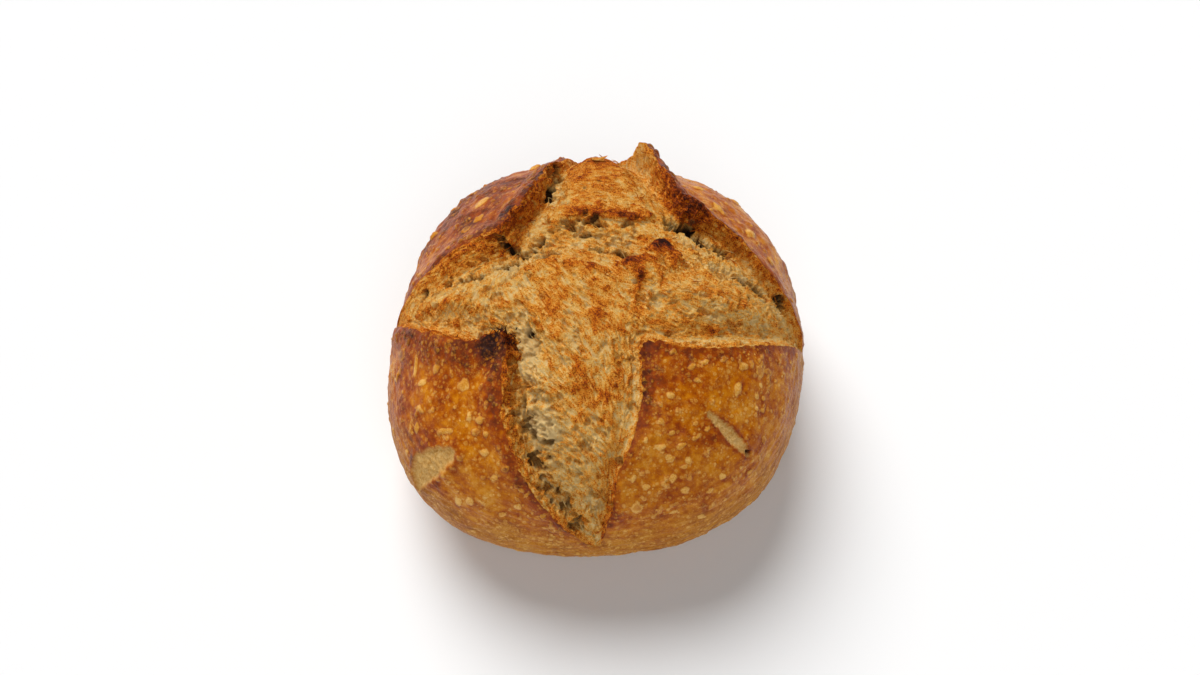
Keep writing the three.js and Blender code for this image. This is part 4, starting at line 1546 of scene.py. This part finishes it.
def build_loaf():
    """Makes the mesh, gives it its large and its fine shape, and cuts it into pieces."""
    draw = np.random.default_rng(DRAW_SEED)
    q, tris, within = follow_rim(*refined_mesh())
    shape = Shape(q)
    shape.within = within
    point, ways = raised(shape)
    in_crumb = within > 0
    of_crumb = within[tris].mean(axis=1) > 0
    crust_out = vertex_normals(point, tris[~of_crumb])
    crumb_out = vertex_normals(point, tris[of_crumb])
    fields = {name: np.zeros(len(q)) for name in CRUST_FIELDS + CRUMB_FIELDS}
    fields["way"] = np.zeros((len(q), 3))

    crumb = shape.part(in_crumb)
    crumb_ways = [way[in_crumb] for way in ways]
    fine, toast, hollow, strands_run = crumb_details(crumb, point[in_crumb], crumb_ways, draw)
    fields["toast"] = shape.rim("bake")
    fields["toast"][in_crumb] = toast
    fields["hollow"][in_crumb] = hollow
    fields["way"][in_crumb] = strands_run
    point[in_crumb] += crumb_out[in_crumb] * fine[:, None]

    relief, *crust_values = crust_details(shape.part(~in_crumb), smooth_loaf(q[~in_crumb]), draw)
    for name, values in zip(CRUST_FIELDS, crust_values):
        fields[name][~in_crumb] = values
    relief *= above_foot(q[~in_crumb])
    point[~in_crumb] += crust_out[~in_crumb] * relief[:, None]
    point[np.hypot(*q.T) > FOOT_AT - BASE_MARGIN, 2] = 0
    point[:, 2] = np.maximum(point[:, 2], 0)

    point, tris = close_base(point, tris)
    of_crumb = np.append(of_crumb, np.zeros(len(tris) - len(of_crumb), bool))
    back = point[tris][:, :, 1].mean(axis=1) > 0
    crust_skin = crust_material()
    crumb_skin = crumb_material()
    for kind, picks, names, material in (
        ("crust", ~of_crumb, CRUST_FIELDS, crust_skin),
        ("crumb", of_crumb, CRUMB_FIELDS, crumb_skin),
    ):
        normals = vertex_normals(point, tris[picks])
        values = {name: np.concatenate([fields[name], fields[name][-1:]]) for name in names}
        for side, half in (("front", ~back), ("back", back)):
            make_piece(f"{side}_{kind}", point, tris[picks & half], values, material, normals)

    crumb_point = point[:-1][in_crumb]
    make_strands(crumb, crumb_point, crumb_out[in_crumb], crumb_ways, toast, hollow, crumb_skin, draw)
    make_flake(crumb.q, crumb_point, crumb_out[in_crumb], crumb_ways, crumb_skin)


build_loaf()

# ---------------------------------------------------------------------------------------------------------
# Floor, light and camera
# ---------------------------------------------------------------------------------------------------------

FLOOR_REACH = 60.0
FLOOR_PALENESS = 0.85
WHITE = (1, 1, 1, 1)
HORIZON_GLOW = 0.72  # the room glows round the horizon
OVERHEAD_GLOW = 0.05  # and is dim overhead
GLOW_ENDS = (0.10, 0.45)  # as the sine of the height over the horizon

FRAME_WIDTH = 1200  # in pixels, as the two shifts below
SHIFT_RIGHT = 4.35
SHIFT_UP = 10.1
LENS = 42.34
CAMERA_ELEVATION = math.radians(60)
CAMERA_DISTANCE = 0.750
AIM = Vector((0, 0, 0.060))

scene = bpy.context.scene
scene.view_settings.view_transform = "Standard"


def look_along(thing, way):
    """Turns a light or a camera to look in a direction."""
    thing.rotation_euler = way.to_track_quat("-Z", "Y").to_euler()


def soft_light(name, towards, spread, strength):
    """A far light in the given direction, as wide as the spread in degrees."""
    light = bpy.data.lights.new(name, "SUN")
    light.angle = math.radians(spread)
    light.energy = strength
    lamp = bpy.data.objects.new(name, light)
    look_along(lamp, -Vector(towards))
    scene.collection.objects.link(lamp)


floor_mesh = bpy.data.meshes.new("floor")
corners = [(x * FLOOR_REACH, y * FLOOR_REACH, 0) for x, y in ((-1, -1), (1, -1), (1, 1), (-1, 1))]
floor_mesh.from_pydata(corners, [], [(0, 1, 2, 3)])
floor = bpy.data.objects.new("floor", floor_mesh)
scene.collection.objects.link(floor)
floor_nodes = Nodes(bpy.data.materials.new("pale floor"))
floor_nodes.finish(Base_Color=(*[FLOOR_PALENESS] * 3, 1), Roughness=1.0, Specular_IOR_Level=0.0)
floor_mesh.materials.append(floor_nodes.owner)

room = Nodes(bpy.data.worlds.new("soft room"))
direction = room.wire("ShaderNodeTexCoord", {}, "Generated")
up = room.wire("ShaderNodeSeparateXYZ", {}, "Z", Vector=direction)
glow = (1 - up.step(*GLOW_ENDS)) * (HORIZON_GLOW - OVERHEAD_GLOW) + OVERHEAD_GLOW
background = room.wire("ShaderNodeBackground", {}, Color=WHITE, Strength=glow)
room.node("ShaderNodeOutputWorld", {}, Surface=background)
scene.world = room.owner

soft_light("key", (-0.45, 0.9, 1.39), 40, 3.2)
soft_light("fill", (0.1, -1.1, 1.44), 42, 1.0)

camera_data = bpy.data.cameras.new("camera")
camera_data.lens = LENS
camera_data.shift_x = SHIFT_RIGHT / FRAME_WIDTH
camera_data.shift_y = SHIFT_UP / FRAME_WIDTH
camera = bpy.data.objects.new("camera", camera_data)
from_aim = Vector((0, -math.cos(CAMERA_ELEVATION), math.sin(CAMERA_ELEVATION)))
camera.location = AIM + CAMERA_DISTANCE * from_aim
look_along(camera, -from_aim)
scene.collection.objects.link(camera)
scene.camera = camera
